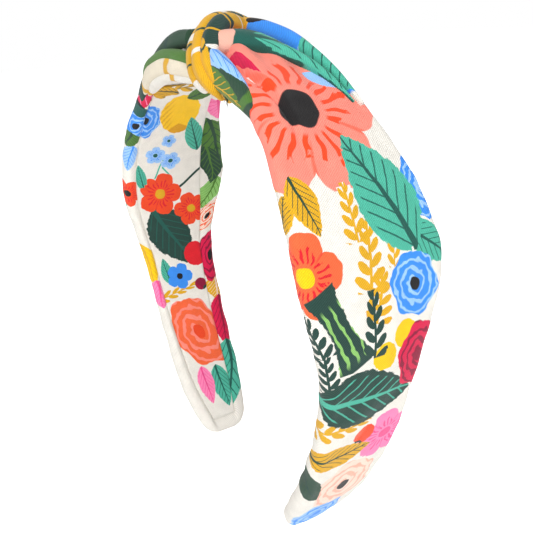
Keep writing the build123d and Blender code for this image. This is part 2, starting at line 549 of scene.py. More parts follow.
class Drawings:
    """The node group that draws every kind of motif from the motif's own coordinates."""

    def __init__(self) -> None:
        """Start the group, with the values that its drawings share."""
        colour, number, vector = "NodeSocketColor", "NodeSocketFloat", "NodeSocketVector"
        g, inputs, self.outputs = new_group(
            "cotton_drawings",
            {"Vector": vector, "Kind": number, "Ink": colour, "Line": colour, "Heart": colour},
            {"Colour": colour, "Mask": number},
        )
        self.graph, self.kind = g, inputs["Kind"]
        self.ink, self.line, self.heart = inputs["Ink"], inputs["Line"], inputs["Heart"]
        self.x, self.y = x, y = g.split(inputs["Vector"])
        self.wobble = g.minus(g.grain(inputs["Vector"], 3.2, 1.0), 0.5)
        self.fine = g.minus(g.grain(inputs["Vector"], 9.0, 2.0), 0.5)
        self.side = g.size(y)
        self.reach = g.math("SQRT", g.plus(g.times(x, x), g.times(y, y)))
        self.phi = g.math("ARCTAN2", y, x)
        self.rough = g.scaled(self.wobble, 0.16, self.reach)

    def flower(self) -> Drawn:
        """A five-petal flower with streaks round its heart.

        Returns:
            Its colour and its mask.
        """
        g, wobble, fine = self.graph, self.wobble, self.fine
        reach, phi, rough = self.reach, self.phi, self.rough
        lobes = g.size(g.math("COSINE", g.times(phi, 2.5)))
        petal = g.scaled(g.math("POWER", lobes, 0.6), 0.3, 0.68)
        mask = g.step(g.minus(petal, rough), -0.012, 0.012)
        rays = g.math("SINE", g.scaled(wobble, 9.0, g.times(phi, 19.0)))
        ends = g.scaled(g.math("COSINE", g.times(phi, 5.0)), 0.1, 0.6)
        ends = g.scaled(fine, 0.5, ends)
        window = g.times(g.step(reach, 0.28, 0.34), g.step(g.minus(ends, reach), 0.0, 0.05))
        streaks = g.times(g.step(rays, 0.15, 0.45), window)
        folds = g.times(g.step(lobes, 0.14, 0.03), g.step(reach, 0.3, 0.5))
        tint = g.blend(streaks, self.ink, self.line)
        tint = g.blend(g.times(folds, 0.55), tint, self.line)
        heart = g.step(g.scaled(wobble, 0.1, reach), 0.235, 0.215)
        return g.blend(heart, tint, self.heart), mask

    def rose(self) -> Drawn:
        """A rose drawn as a coil of petals.

        Returns:
            Its colour and its mask.
        """
        g, wobble, reach, phi, rough = self.graph, self.wobble, self.reach, self.phi, self.rough
        coil = g.minus(g.times(reach, 4.0), g.over(phi, 2 * pi))
        coil = g.math("FRACT", g.scaled(wobble, 1.5, coil))
        rings = g.times(g.step(coil, 0.0, 0.08), g.step(coil, 0.44, 0.34))
        frill = g.scaled(g.math("SINE", g.times(phi, 6.0)), 0.05, 0.9)
        mask = g.step(g.minus(frill, rough), -0.015, 0.015)
        heart = g.step(g.scaled(wobble, 0.1, reach), 0.2, 0.18)
        return g.blend(heart, g.blend(rings, self.ink, self.line), self.heart), mask

    def leaf(self) -> Drawn:
        """A toothed leaf with a bowed rib and veins.

        Returns:
            Its colour and its mask.
        """
        g, x, y, fine, side = self.graph, self.x, self.y, self.fine, self.side
        blade = g.minus(1.0, g.times(x, x))
        blade = g.math("POWER", g.math("MAXIMUM", blade, 0.0), 0.8)
        blade = g.times(blade, g.scaled(x, -0.28, 0.95))
        teeth = g.scaled(fine, 0.22, side)
        mask = g.times(g.step(g.minus(blade, teeth), -0.012, 0.02), g.step(blade, 0.0, 0.02))
        bow = g.times(g.math("SINE", g.times(x, 2.2)), 0.07)
        rib_side = g.size(g.minus(y, bow))
        rib = g.step(g.scaled(x, 0.045, rib_side), 0.085, 0.055)
        vein = g.math("FRACT", g.times(g.minus(x, g.times(rib_side, 0.75)), 3.6))
        vein = g.size(g.minus(vein, 0.5))
        inside = g.step(g.minus(g.times(blade, 0.82), side), -0.02, 0.04)
        vein = g.times(g.step(g.scaled(fine, 0.12, vein), 0.1, 0.06), inside)
        marks = g.math("MAXIMUM", g.times(vein, 0.9), rib)
        return g.blend(marks, self.ink, self.line), mask

    def sprig(self) -> Drawn:
        """A stem with two rows of leaflets.

        Returns:
            Its colour and its mask.
        """
        g, x, y, wobble, fine, side = self.graph, self.x, self.y, self.wobble, self.fine, self.side
        cell = g.scaled(x, 2.5, g.times(g.math("SIGN", y), 0.25))
        cell = g.minus(g.math("FRACT", g.plus(cell, 10.0)), 0.5)
        spread = g.scaled(x, -0.35, 0.7)
        leaf_side = g.over(side, spread)
        lean = g.minus(cell, g.times(g.minus(leaf_side, 0.5), 0.7))
        oval = g.plus(g.math("POWER", g.over(lean, 0.36), 2.0),
                      g.math("POWER", g.over(g.minus(leaf_side, 0.5), 0.5), 2.0))
        leaflets = g.step(g.scaled(fine, 0.6, oval), 1.05, 0.92)
        stem = g.step(g.minus(side, g.times(wobble, 0.08)), 0.1, 0.07)
        mask = g.times(g.math("MAXIMUM", leaflets, stem), g.step(g.size(x), 1.0, 0.96))
        shade = g.times(g.step(lean, 0.02, 0.1), 0.5)
        return g.blend(shade, self.ink, self.line), mask

    def bud(self) -> Drawn:
        """A bud, a pear or a berry, with a hatched side and a cap.

        Returns:
            Its colour and its mask.
        """
        g, x, y, fine, side, rough = self.graph, self.x, self.y, self.fine, self.side, self.rough
        mask = g.step(rough, 0.97, 0.94)
        hatch = g.math("FRACT", g.scaled(fine, 0.8, g.times(g.plus(x, side), 3.5)))
        hatch = g.times(g.step(hatch, 0.55, 0.7), g.step(y, 0.25, 0.55))
        cap = g.step(g.scaled(side, -0.45, g.times(x, -1.0)), 0.5, 0.54)
        tint = g.blend(g.times(hatch, 0.7), self.ink, self.line)
        return g.blend(cap, tint, self.heart), mask

    def stalk(self) -> Drawn:
        """A stalk with light streaks.

        Returns:
            Its colour and its mask.
        """
        g, x, y, wobble, fine, side = self.graph, self.x, self.y, self.wobble, self.fine, self.side
        flare = g.scaled(g.times(x, x), 0.35, g.scaled(x, 0.12, 0.42))
        edge = g.minus(flare, g.scaled(fine, 0.2, side))
        mask = g.times(g.step(edge, -0.02, 0.02), g.step(g.size(x), 1.0, 0.97))
        lines = g.math("SINE", g.scaled(wobble, 5.0, g.times(y, 17.0)))
        lines = g.times(g.step(lines, 0.45, 0.7), g.step(g.size(g.minus(x, 0.1)), 0.8, 0.6))
        return g.blend(lines, self.ink, self.line), mask

    def patch(self) -> Drawn:
        """A patch of dye with cross lines.

        Returns:
            Its colour and its mask.
        """
        g, x, wobble, reach = self.graph, self.x, self.wobble, self.reach
        mask = g.step(g.scaled(wobble, 0.3, reach), 0.97, 0.94)
        bars = g.math("SINE", g.scaled(wobble, 3.0, g.times(x, 7.0)))
        bars = g.step(bars, 0.9, 0.96)
        return g.blend(bars, self.ink, self.line), mask

    def stem(self) -> Drawn:
        """A bare curved stem.

        Returns:
            Its colour and its mask.
        """
        g, x, y, fine = self.graph, self.x, self.y, self.fine
        bend = g.times(g.math("SINE", g.times(x, 1.9)), 0.55)
        line = g.size(g.minus(g.scaled(fine, 0.1, y), bend))
        mask = g.times(g.step(line, 0.36, 0.28), g.step(g.size(x), 1.0, 0.96))
        return g.blend(0.0, self.ink, self.line), mask

    def build(self) -> bpy.types.NodeTree:
        """Let the motif's kind choose its drawing.

        Returns:
            The finished group.
        """
        g = self.graph
        draw = (self.flower, self.rose, self.leaf, self.sprig, self.bud, self.stalk, self.patch, self.stem)
        tint, mask = None, None
        for kind, (result, cover) in enumerate((one() for one in draw), start=Drawing.FLOWER):
            own = g.math("COMPARE", self.kind, float(kind), 0.4)
            cover = g.times(own, cover)
            tint = result if tint is None else g.blend(own, tint, result)
            mask = cover if mask is None else g.plus(mask, cover)
        g.feed(self.outputs["Colour"], tint)
        g.feed(self.outputs["Mask"], mask)
        return g.tree


def weave_group() -> bpy.types.NodeTree:
    """The group for a fine twill, which reads cloth coordinates.

    Returns:
        The group, with the twill's height and a tone that is painted shade in the twill's grooves mixed
        with random tone from fuzz.
    """
    g, i, o = new_group(
        "twill_weave",
        {"Vector": "NodeSocketVector", "Pitch": "NodeSocketFloat"},
        {"Height": "NodeSocketFloat", "Tone": "NodeSocketFloat"},
    )
    x, y = g.split(i["Vector"])
    drift = g.minus(g.grain(i["Vector"], 0.35, 2.0), 0.5)
    per = g.over(2 * pi, i["Pitch"])
    warp = g.scaled(drift, 1.6, g.times(g.scaled(y, 0.8, x), per))
    weft = g.times(g.scaled(x, -0.9, y), g.times(per, 1.35))
    rib = g.math("SINE", warp)
    cross = g.math("SINE", weft)
    height = g.scaled(g.times(rib, g.scaled(cross, 0.35, 0.65)), 0.5, 0.5)
    fuzz = g.grain(i["Vector"], 2.4, 3.0)
    g.feed(o["Height"], g.scaled(fuzz, 0.5, height))
    # The tone output is painted shade: darker where the twill is low and lighter on its raised threads,
    # plus a little random tone from the fuzz.
    g.feed(o["Tone"], g.scaled(g.minus(fuzz, 0.5), 0.18, g.scaled(height, 0.42, 0.74)))
    return g.tree


@dataclass(frozen=True)
class PrintedCotton:
    """Printed cotton twill: an off-white ground, three layers of drawings and a fine diagonal weave, with
    painted shade in the weave's grooves.
    """

    name: str = "printed_cotton"
    pitch: float = 0.6  # of the twill, in millimetres
    ground: Dye = Dye.OFF_WHITE
    depth: float = 0.00012  # of the twill, in metres
    relief: float = 0.6
    cloud: float = 0.3  # the fineness of the uneven dye
    uneven: float = 0.22
    roughness: float = 0.85
    shine: float = 0.25
    sheen: float = 0.15

    def material(self, groups: dict[str, bpy.types.NodeTree]) -> bpy.types.Material:
        """The material.

        Args:
            groups: The shared node groups by name.

        Returns:
            The material.
        """
        made = bpy.data.materials.new(self.name)
        made.use_nodes = True
        g = Graph(made.node_tree)
        shader = made.node_tree.nodes["Principled BSDF"]
        cloth = g.node("ShaderNodeUVMap", uv_map="cloth").outputs[0]
        colour = self.ground.value
        for layer in range(LAYERS):
            draw = g.node("ShaderNodeGroup", node_tree=groups["drawings"])
            g.feed(draw.inputs["Vector"], g.node("ShaderNodeUVMap", uv_map=f"drawing_{layer}").outputs[0])
            kind = g.node("ShaderNodeAttribute", attribute_name=f"kind_{layer}")
            g.feed(draw.inputs["Kind"], kind.outputs["Fac"])
            for name, label in (("ink", "Ink"), ("line", "Line"), ("heart", "Heart")):
                attribute = g.node("ShaderNodeAttribute", attribute_name=f"{name}_{layer}")
                g.feed(draw.inputs[label], attribute.outputs["Color"])
            colour = g.blend(draw.outputs["Mask"], colour, draw.outputs["Colour"])
        weave = g.node("ShaderNodeGroup", node_tree=groups["weave"])
        g.feed(weave.inputs["Vector"], cloth)
        g.feed(weave.inputs["Pitch"], self.pitch)
        wash = g.scaled(g.grain(cloth, self.cloud, 4.0), self.uneven, 1 - self.uneven / 2)
        # Painted shade of the twill's grooves, with some random tone, multiplied into the print.
        colour = g.blend(1.0, colour, g.grey(weave.outputs["Tone"]), "MULTIPLY")
        colour = g.blend(1.0, colour, g.grey(wash), "MULTIPLY")
        g.feed(shader.inputs["Base Color"], colour)
        bump = g.node("ShaderNodeBump")
        g.feed(bump.inputs["Strength"], self.relief)
        g.feed(bump.inputs["Distance"], self.depth)
        g.feed(bump.inputs["Height"], weave.outputs["Height"])
        g.feed(shader.inputs["Normal"], bump.outputs[0])
        shader.inputs["Roughness"].default_value = self.roughness
        shader.inputs["Specular IOR Level"].default_value = self.shine
        shader.inputs["Sheen Weight"].default_value = self.sheen
        shader.inputs["Sheen Roughness"].default_value = 0.5
        return made


@dataclass(frozen=True)
class Plain:
    """A finish of one colour with grain: moulded plastic or wadding."""

    name: str
    colour: Colour
    roughness: float
    grain: float
    shade: float = 0.75  # of the darker specks
    relief: float = 0.3
    depth: float = 0.0001  # of the grain, in metres

    def material(self) -> bpy.types.Material:
        """The material.

        Returns:
            The material, with grain read from the object's own coordinates.
        """
        made = bpy.data.materials.new(self.name)
        made.use_nodes = True
        g = Graph(made.node_tree)
        shader = made.node_tree.nodes["Principled BSDF"]
        place = g.node("ShaderNodeTexCoord").outputs["Object"]
        speck = g.grain(place, self.grain, 4.0)
        darker = tuple(c * self.shade for c in self.colour)
        g.feed(shader.inputs["Base Color"], g.blend(speck, self.colour, darker))
        g.feed(shader.inputs["Roughness"], g.scaled(speck, 0.2, self.roughness - 0.1))
        bump = g.node("ShaderNodeBump")
        g.feed(bump.inputs["Strength"], self.relief)
        g.feed(bump.inputs["Distance"], self.depth)
        g.feed(bump.inputs["Height"], speck)
        g.feed(shader.inputs["Normal"], bump.outputs[0])
        return made


class Side(Enum):
    """The two legs."""

    LEFT = -1
    RIGHT = 1

    @property
    def label(self) -> str:
        """The word that starts the names of this leg's pieces."""
        return self.name.lower()


@dataclass(frozen=True)
class Oval:
    """The ring of a flat tube: counts of faces over its inner face, each edge and its outer face."""

    inner: int = 13
    edge: int = 12
    outer: int = 60

    @property
    def total(self) -> int:
        """Faces all the way round."""
        return 2 * (self.inner + self.edge) + self.outer

    def at(self, share: float, front: float, back: float, tuck: float, drop: float) -> Spot:
        """One place on the ring, from the middle of the inner face round by the front edge.

        Args:
            share: How far round, from 0 to 1.
            front: The front edge's distance from the middle.
            back: The back edge's distance from the middle.
            tuck: How wide each rounded edge is.
            drop: Half the thickness.

        Returns:
            The distance across, the depth from -1 inside to 1 outside, and the cloth's own distance across.
        """
        k = share * self.total
        arc = pi * (tuck + drop) / 2
        flat_front, flat_back = front - tuck, back - tuck
        if k <= self.inner:
            y = -k / self.inner * flat_front
            return y, -1.0, -(2 * flat_front + arc + y)
        k -= self.inner
        if k <= self.edge:
            turn = pi * k / self.edge
            return -flat_front - tuck * sin(turn), -cos(turn), -flat_front - arc * (1 - k / self.edge)
        k -= self.edge
        if k <= self.outer:
            y = -flat_front + k / self.outer * (flat_front + flat_back)
            return y, 1.0, y
        k -= self.outer
        if k <= self.edge:
            turn = pi * k / self.edge
            return flat_back + tuck * sin(turn), cos(turn), flat_back + arc * k / self.edge
        k -= self.edge
        y = (1 - k / self.inner) * flat_back
        return y, -1.0, 2 * flat_back + arc - y


EDGES = Profile((
    (0.0, 11.8, 11.8), (14.0, 12.2, 12.4), (23.0, 13.0, 14.6), (40.0, 14.0, 17.0), (50.0, 15.6, 19.2),
    (60.0, 17.0, 21.4), (69.0, 17.6, 23.2), (76.0, 17.6, 24.2), (84.0, 16.8, 21.8), (94.0, 14.6, 18.2),
    (104.0, 12.8, 15.8), (114.0, 12.2, 14.6), (123.0, 12.0, 13.4), (128.5, 10.2, 11.0), (132.5, 7.4, 7.9),
))
STRIP_EDGES = Profile((
    (30.0, 11.0, 12.0), (45.0, 11.2, 12.6), (60.0, 12.6, 13.0), (76.0, 13.4, 13.2), (88.0, 12.4, 12.8),
    (100.0, 10.4, 10.6), (112.0, 9.2, 9.0), (124.0, 7.4, 7.5), (131.0, 4.5, 4.5),
))


@dataclass(frozen=True)
class Crease:
    """The long fold that runs from the knot down a sleeve's outer face, and the gathers beside it."""

    across: float = -9.6  # where it leaves the knot
    drift: float = 3.0  # towards the middle of the band, over the run
    drift_back: float = 1.5
    step: float = 2.2  # how far the cloth behind it stands up
    step_breadth: float = 1.1
    shoulder: float = 9.0  # how far behind it the cloth comes down again
    groove: float = 1.4
    groove_breadth: float = 0.8
    groove_shift: float = 0.4
    gather: float = 0.55
    gather_turns: float = 0.62  # radians of gather for each millimetre across
    gather_closer: float = 0.25  # and how many more beside the knot

    def line(self, run: float) -> float:
        """Where the fold lies across the band."""
        return self.across + self.drift * eased(run, 24, 22) - self.drift_back * eased(run, 50, 16)

    def lift(self, run: float, y: float) -> float:
        """How far the fold and the gathers lift the outer face.

        Args:
            run: The distance along the band.
            y: The distance across it.

        Returns:
            The lift, in millimetres.
        """
        behind = y - self.line(run)
        fade = 1 - eased(run, 26, 42)
        step = self.step * smooth(behind / self.step_breadth + 0.5) * bell(behind / self.shoulder)
        groove = self.groove * bell((behind + self.groove_shift) / self.groove_breadth)
        near = 1 - eased(run, 18, 34)
        wander = 1.4 + 1.6 * ripple(run / 25, y / 18, 3.1)
        gathers = self.gather * sin(y * (self.gather_turns + self.gather_closer * near) + wander)
        return fade * (step - groove) + near * gathers


@dataclass
class Sleeve:
    """The tube of printed cotton over one leg, turned in at both edges and closed at the tip."""

    side: Side
    motifs: tuple[Motif, ...]
    start: float = 3.5
    length: float = 187.5
    inside: float = 0.75  # the inner face's offset from the head
    outside: float = 5.3  # the outer face's
    tuck: float = 2.4  # the rounding of each edge
    margin: float = 1.35  # how far the turned-in margins stand proud of the glued strip
    margin_angle: float = 26.0  # where they start, in degrees from the top
    margin_edge: float = 1.3  # the breadth of their slope down to the strip
    tip: float = 6.0  # the length over which the tip closes
    tip_squareness: float = 2.4
    rise: float = 0.6  # of the cloth beside the knot
    crown: float = 0.7  # of the outer face over its edges
    wrinkle: float = 0.46
    fine_wrinkle: float = 0.18
    pucker: float = 0.35  # of the edges, in and out
    fine_pucker: float = 0.12
    rows: int = 210
    ring: Oval = field(default_factory=Oval)
    crease: Crease = field(default_factory=Crease)

    def swell(self, run: float, y: float, half: float) -> float:
        """The outer face's crown and its shallow wrinkles.

        Args:
            run: The distance along the band.
            y: The distance across it.
            half: Half the sleeve's breadth.

        Returns:
            The swelling, in millimetres.
        """
        crown = self.crown * (1 - (y / half) ** 2)
        broad = self.wrinkle * ripple(run / 9, y / 7, 5.0 * self.side.value)
        return crown + broad + self.fine_wrinkle * ripple(run / 3.4, y / 4.2, 8.0)

    def puckered(self, edge: float, run: float, seed: float, fine_seed: float, page: float) -> float:
        """An edge's distance from the middle, with its puckers.

        Args:
            edge: The distance without them.
            run: The distance along the band.
            seed: Where the broad puckers are read from the noise.
            fine_seed: Where the fine ones are.
            page: The noise's third place for both.

        Returns:
            The distance with them.
        """
        edge += self.pucker * ripple(run / 7, seed, page)
        return edge + self.fine_pucker * ripple(run / 2.2, fine_seed, page)

    def place(self, share: float, along: float) -> Vector:
        """A point of the tube.

        Args:
            share: How far round the tube, from 0 to 1.
            along: How far along it, from 0 to 1.

        Returns:
            The point, in millimetres.
        """
        run = self.start + along * self.length
        angle = ARCH.angle(run)
        front, back = EDGES.at(angle)
        strip_front, strip_back = STRIP_EDGES.at(angle)
        front = self.puckered(front, run, 1.0, 4.0, 2.0)
        back = self.puckered(back, run, 9.0, 3.0, 6.0)
        left = (self.start + self.length - run) / self.tip
        close = max(1 - (1 - min(left, 1.0)) ** self.tip_squareness, 0.0) ** 0.5
        front, back = front * (0.5 + 0.5 * close), back * (0.5 + 0.5 * close)
        lift = self.rise * (1 - eased(run, 12, 24))
        outside = self.outside + lift
        middle = (self.inside + outside) / 2
        drop = (outside - self.inside) / 2 * (0.25 + 0.75 * close)
        y, depth, _ = self.ring.at(share, front, back, self.tuck, drop)
        offset = middle + drop * depth
        if depth > 0:
            proud = self.crease.lift(run, y) + self.swell(run, y, (front + back) / 2)
            offset += depth * proud * close
        else:
            strip = strip_front if y < 0 else strip_back
            puff = self.margin * (1 + 0.35 * ripple(run / 8, y / 9, 4.4))
            puff += 0.25 * ripple(run / 2.6, y / 3, 7.7)
            shown = smooth((abs(y) - strip + 0.2) / self.margin_edge) * eased(angle, self.margin_angle, 8)
            offset += depth * puff * shown * close
        return ARCH.point(self.side.value, angle, y, offset)

    def cloth(self, share: float, along: float) -> tuple[float, float]:
        """The cloth coordinates of one corner.

        Args:
            share: How far round, from 0 to 1.
            along: How far along, from 0 to 1.

        Returns:
            The distances along and across the cloth, in millimetres.
        """
        run = self.start + along * self.length
        front, back = EDGES.at(ARCH.angle(run))
        drop = (self.outside - self.inside) / 2
        return run, self.ring.at(share, front, back, self.tuck, drop)[2]

    def build(self) -> bpy.types.Object:
        """The finished tube."""
        name = f"{self.side.label}_sleeve"
        made = Cloth.mapped(name, self.ring.total, self.rows, self.place, self.cloth)
        return made.finish(Print(self.motifs))


@dataclass
class InsideStrip:
    """The strip of cotton glued inside one leg over the sleeve's raw edges."""

    side: Side
    motifs: tuple[Motif, ...]
    start: float = 34.0
    end: float = 186.0
    thickness: float = 0.6
    clear: float = 0.07  # of the head seat
    under_sleeve: float = 0.75  # the sleeve's inner face, which the strip never passes
    wave: float = 0.14
    fine_wave: float = 0.06
    rim: float = 0.8  # the share of the breadth where the waves start to die out
    rows: int = 150
    ring: Oval = field(default_factory=lambda: Oval(inner=13, edge=2, outer=26))

    def place(self, share: float, along: float) -> Vector:
        """A point of the strip.

        Args:
            share: How far round the strip, from 0 to 1.
            along: How far along it, from 0 to 1.

        Returns:
            The point, in millimetres.
        """
        run = self.start + along * (self.end - self.start)
        angle = ARCH.angle(run)
        front, back = STRIP_EDGES.at(angle)
        drop = self.thickness / 2
        y, depth, _ = self.ring.at(share, front, back, drop, drop)
        wave = self.wave * ripple(run / 8, y / 6, 1.5) + self.fine_wave * ripple(run / 2.5, y / 2.5, 2.5)
        rim = smooth((abs(y) / max(front, back) - self.rim) / (1 - self.rim))
        offset = self.clear + drop * (1 - depth) + wave * (1 - rim)
        return ARCH.point(self.side.value, angle, y, min(offset, self.under_sleeve))

    def cloth(self, share: float, along: float) -> tuple[float, float]:
        """The cloth coordinates of one corner.

        Args:
            share: How far round, from 0 to 1.
            along: How far along, from 0 to 1.

        Returns:
            The distances along and across the cloth, in millimetres.
        """
        run = self.start + along * (self.end - self.start)
        front, back = STRIP_EDGES.at(ARCH.angle(run))
        drop = self.thickness / 2
        return run, self.ring.at(share, front, back, drop, drop)[2]

    def build(self) -> bpy.types.Object:
        """The finished strip."""
        name = f"{self.side.label}_inside_strip"
        made = Cloth.mapped(name, self.ring.total, self.rows, self.place, self.cloth)
        return made.finish(Print(self.motifs))


@dataclass
class Strand:
    """A rolled or pleated strand of the knot.

    Each station of the path is (share, x, y, z, half width, half height), in millimetres.
    """

    name: str
    path: Profile
    motifs: tuple[Motif, ...] = ()
    shift: float = 0.0
    lift: float = 0.0
    narrow: float = 1.0
    drawn_in: float = 0.0  # the share of the shift that is lost towards the end
    seed: float = 0.0
    fullness: float = 0.75  # 1 is an oval, less is squarer
    lumps: float = 0.1
    around: int = 30
    rows: int = 70
    span_length: float = 0.0  # measured when the mesh is made

    def frame(self, share: float) -> tuple[Vector, Vector, Vector]:
        """Where the strand is and how it is turned.

        Args:
            share: The share of its length, from 0 to 1.

        Returns:
            Its middle, its way across and its way out from the band.
        """
        ahead = Vector(self.path.at(min(share + 0.01, 1.0))[:3])
        behind = Vector(self.path.at(max(share - 0.01, 0.0))[:3])
        middle = Vector(self.path.at(share)[:3])
        spine = Vector((middle.x, 0, middle.z)).normalized() * (ARCH.head_radius + CORE_MIDDLE)
        tangent = (ahead - behind).normalized()
        out = middle - spine
        out = (out - tangent * out.dot(tangent)).normalized()
        return middle, tangent.cross(out), out

    def span(self) -> float:
        """The strand's length."""
        stops = [Vector(self.path.at(i / 40)[:3]) for i in range(41)]
        return sum((b - a).length for a, b in zip(stops, stops[1:]))

    def place(self, around: float, along: float) -> Vector:
        """A point of the strand.

        Args:
            around: How far round it, from 0 to 1.
            along: How far along it, from 0 to 1.

        Returns:
            The point, in millimetres.
        """
        middle, across, out = self.frame(along)
        wide, high = self.path.at(along)[3:]
        wide *= self.narrow
        turn = 2 * pi * around + pi
        c, s = cos(turn), sin(turn)
        flat = (abs(c) ** self.fullness) * (1 if c >= 0 else -1)
        tall = (abs(s) ** self.fullness) * (1 if s >= 0 else -1)
        grow = 1 + self.lumps * ripple(along * 5 + self.seed, c * 1.3, s * 1.3 + self.seed)
        shift = self.shift * (1 - self.drawn_in * smooth((along - 0.55) / 0.35))
        return middle + across * (flat * wide * grow + shift) + out * (tall * high * grow + self.lift)

    def cloth(self, around: float, along: float) -> tuple[float, float]:
        """The cloth coordinates of one corner.

        Args:
            around: How far round the strand, from 0 to 1.
            along: How far along it, from 0 to 1.

        Returns:
            The distances along it and round it from its outer face, in millimetres.
        """
        wide, high = self.path.at(along)[3:]
        turn = around - 0.75 if around > 0.25 else around + 0.25
        return along * self.span_length, turn * pi * (wide * self.narrow + high)

    def mesh(self) -> Cloth:
        """The strand's mesh."""
        self.span_length = self.span()
        return Cloth.mapped(self.name, self.around, self.rows, self.place, self.cloth)

    def build(self) -> bpy.types.Object:
        """The finished strand."""
        return self.mesh().finish(Print(self.motifs))


D = Dye  # short names for the lists of motifs
K = Drawing

RIGHT_FACE = (
    Motif(K.ROSE, 36.5, 12.5, 0, 9.0, 6.5, D.BLUE, D.SKY, 0, D.SKY),
    Motif(K.LEAF, 36.5, 7.8, 40, 4.8, 2.2, D.SKY, D.SKY, 2),
    Motif(K.BUD, 27.0, 13.2, 15, 4.2, 2.2, D.BLACK, D.BLACK, 2),
    Motif(K.LEAF, 26.0, -9.2, 12, 7.5, 0.6, D.CRIMSON, D.CRIMSON, 2),
    Motif(K.FLOWER, 45.5, -3.5, 168, 24.5, 22.0, D.CORAL, D.CORAL_RED, 1),
    Motif(K.BUD, 22.0, -5.0, 0, 19.0, 13.0, D.CORAL, D.CORAL_RED, 0, D.CORAL),
    Motif(K.PATCH, 38.0, -21.0, 0, 20.0, 10.0, D.CORAL, D.CORAL_RED, 0, D.CORAL),
    Motif(K.LEAF, 69.0, 9.0, 200, 16.0, 8.8, D.TEAL, D.DEEP_TEAL, 2),
    Motif(K.ROSE, 69.5, 20.5, 0, 9.0, 5.5, D.BLUE, D.SKY, 0, D.SKY),
    Motif(K.LEAF, 83.0, 19.5, 49, 8.5, 4.5, D.TEAL, D.DEEP_TEAL, 1),
    Motif(K.ROSE, 91.5, 12.7, 0, 8.6, 8.2, D.BLUE, D.SKY, 2),
    Motif(K.LEAF, 61.0, -14.5, 80, 6.0, 3.4, D.MUSTARD, D.DARK_GREEN, 0),
    Motif(K.LEAF, 68.5, -12.5, 12, 7.4, 3.7, D.MUSTARD, D.DARK_GREEN, 2),
    Motif(K.LEAF, 69.0, -18.6, 150, 5.0, 3.2, D.MUSTARD, D.DARK_GREEN, 1),
    Motif(K.SPRIG, 71.5, -1.6, 180, 7.6, 3.6, D.MUSTARD, D.MUSTARD, 1),
    Motif(K.SPRIG, 82.5, 0.8, 172, 8.4, 5.0, D.MUSTARD, D.MUSTARD, 0),
    Motif(K.SPRIG, 80.0, 8.0, 175, 6.5, 2.2, D.MUSTARD, D.MUSTARD, 1),
    Motif(K.SPRIG, 92.0, 2.0, 165, 6.5, 4.4, D.MUSTARD, D.MUSTARD, 1),
    Motif(K.FLOWER, 83.5, -17.0, 20, 10.5, 10.0, D.ORANGE, D.RED, 0, D.YELLOW),
    Motif(K.STALK, 97.8, -9.6, 25, 11.5, 7.0, D.BOTTLE, D.LIGHT_GREEN, 1),
    Motif(K.SPRIG, 98.8, -16.5, 205, 6.8, 4.2, D.BOTTLE, D.BOTTLE, 2),
    Motif(K.SPRIG, 98.3, -0.2, 180, 8.6, 4.0, D.BOTTLE, D.BOTTLE, 2),
    Motif(K.SPRIG, 107.5, -13.5, 190, 6.0, 3.6, D.BOTTLE, D.BOTTLE, 2),
    Motif(K.BUD, 103.1, 9.3, 0, 3.9, 3.6, D.YELLOW, D.MUSTARD, 1, D.YELLOW),
    Motif(K.SPRIG, 108.3, 8.8, 180, 3.5, 1.6, D.BOTTLE, D.BOTTLE, 0),
    Motif(K.BUD, 107.3, 3.0, 0, 3.9, 3.7, D.YELLOW, D.MUSTARD, 1, D.YELLOW),
    Motif(K.ROSE, 110.5, 14.2, 0, 10.5, 7.5, D.CRIMSON, D.DARK_CRIMSON, 2, D.DARK_CRIMSON),
    Motif(K.LEAF, 118.2, -1.5, 82, 14.8, 9.0, D.BOTTLE, D.TEAL, 1),
    Motif(K.SPRIG, 127.0, -7.5, 95, 9.5, 4.2, D.MUSTARD, D.MUSTARD, 0),
    Motif(K.BUD, 132.3, 0.6, 150, 3.8, 3.2, D.RED_ORANGE, D.CORAL, 2, D.BOTTLE),
    Motif(K.FLOWER, 136.0, 8.5, 40, 10.5, 9.5, D.PINK, D.HOT_PINK, 1, D.HOT_PINK),
    Motif(K.LEAF, 138.5, -6.0, 95, 10.0, 5.0, D.MUSTARD, D.DARK_GREEN, 2),
    Motif(K.ROSE, 157.0, 0.5, 0, 15.0, 10.5, D.PEACH, D.PEACH_LINE, 1),
    Motif(K.LEAF, 153.0, -12.0, 30, 9.0, 4.0, D.DARK_GREEN, D.BOTTLE, 2),
    Motif(K.ROSE, 178.0, -2.0, 0, 13.0, 9.0, D.SKY, D.BLUE, 1, D.BLUE),
)

RIGHT_STRIP = (
    Motif(K.FLOWER, 62.0, -12.0, 30, 10.0, 10.0, D.CORAL, D.CORAL_RED, 1),
    Motif(K.LEAF, 80.0, 6.0, 160, 12.0, 6.0, D.TEAL, D.DEEP_TEAL, 0),
    Motif(K.BUD, 95.0, -4.0, 40, 4.0, 4.0, D.BLUE, D.SKY, 2, D.BOTTLE),
    Motif(K.ROSE, 112.0, 3.0, 0, 8.0, 7.0, D.CRIMSON, D.DARK_CRIMSON, 1),
    Motif(K.SPRIG, 130.0, 0.0, 20, 10.0, 4.0, D.MUSTARD, D.MUSTARD, 2),
    Motif(K.FLOWER, 150.0, 1.0, 70, 9.0, 8.0, D.PINK, D.HOT_PINK, 1),
    Motif(K.LEAF, 170.0, 0.0, 180, 10.0, 5.0, D.OLIVE, D.DARK_GREEN, 0),
)

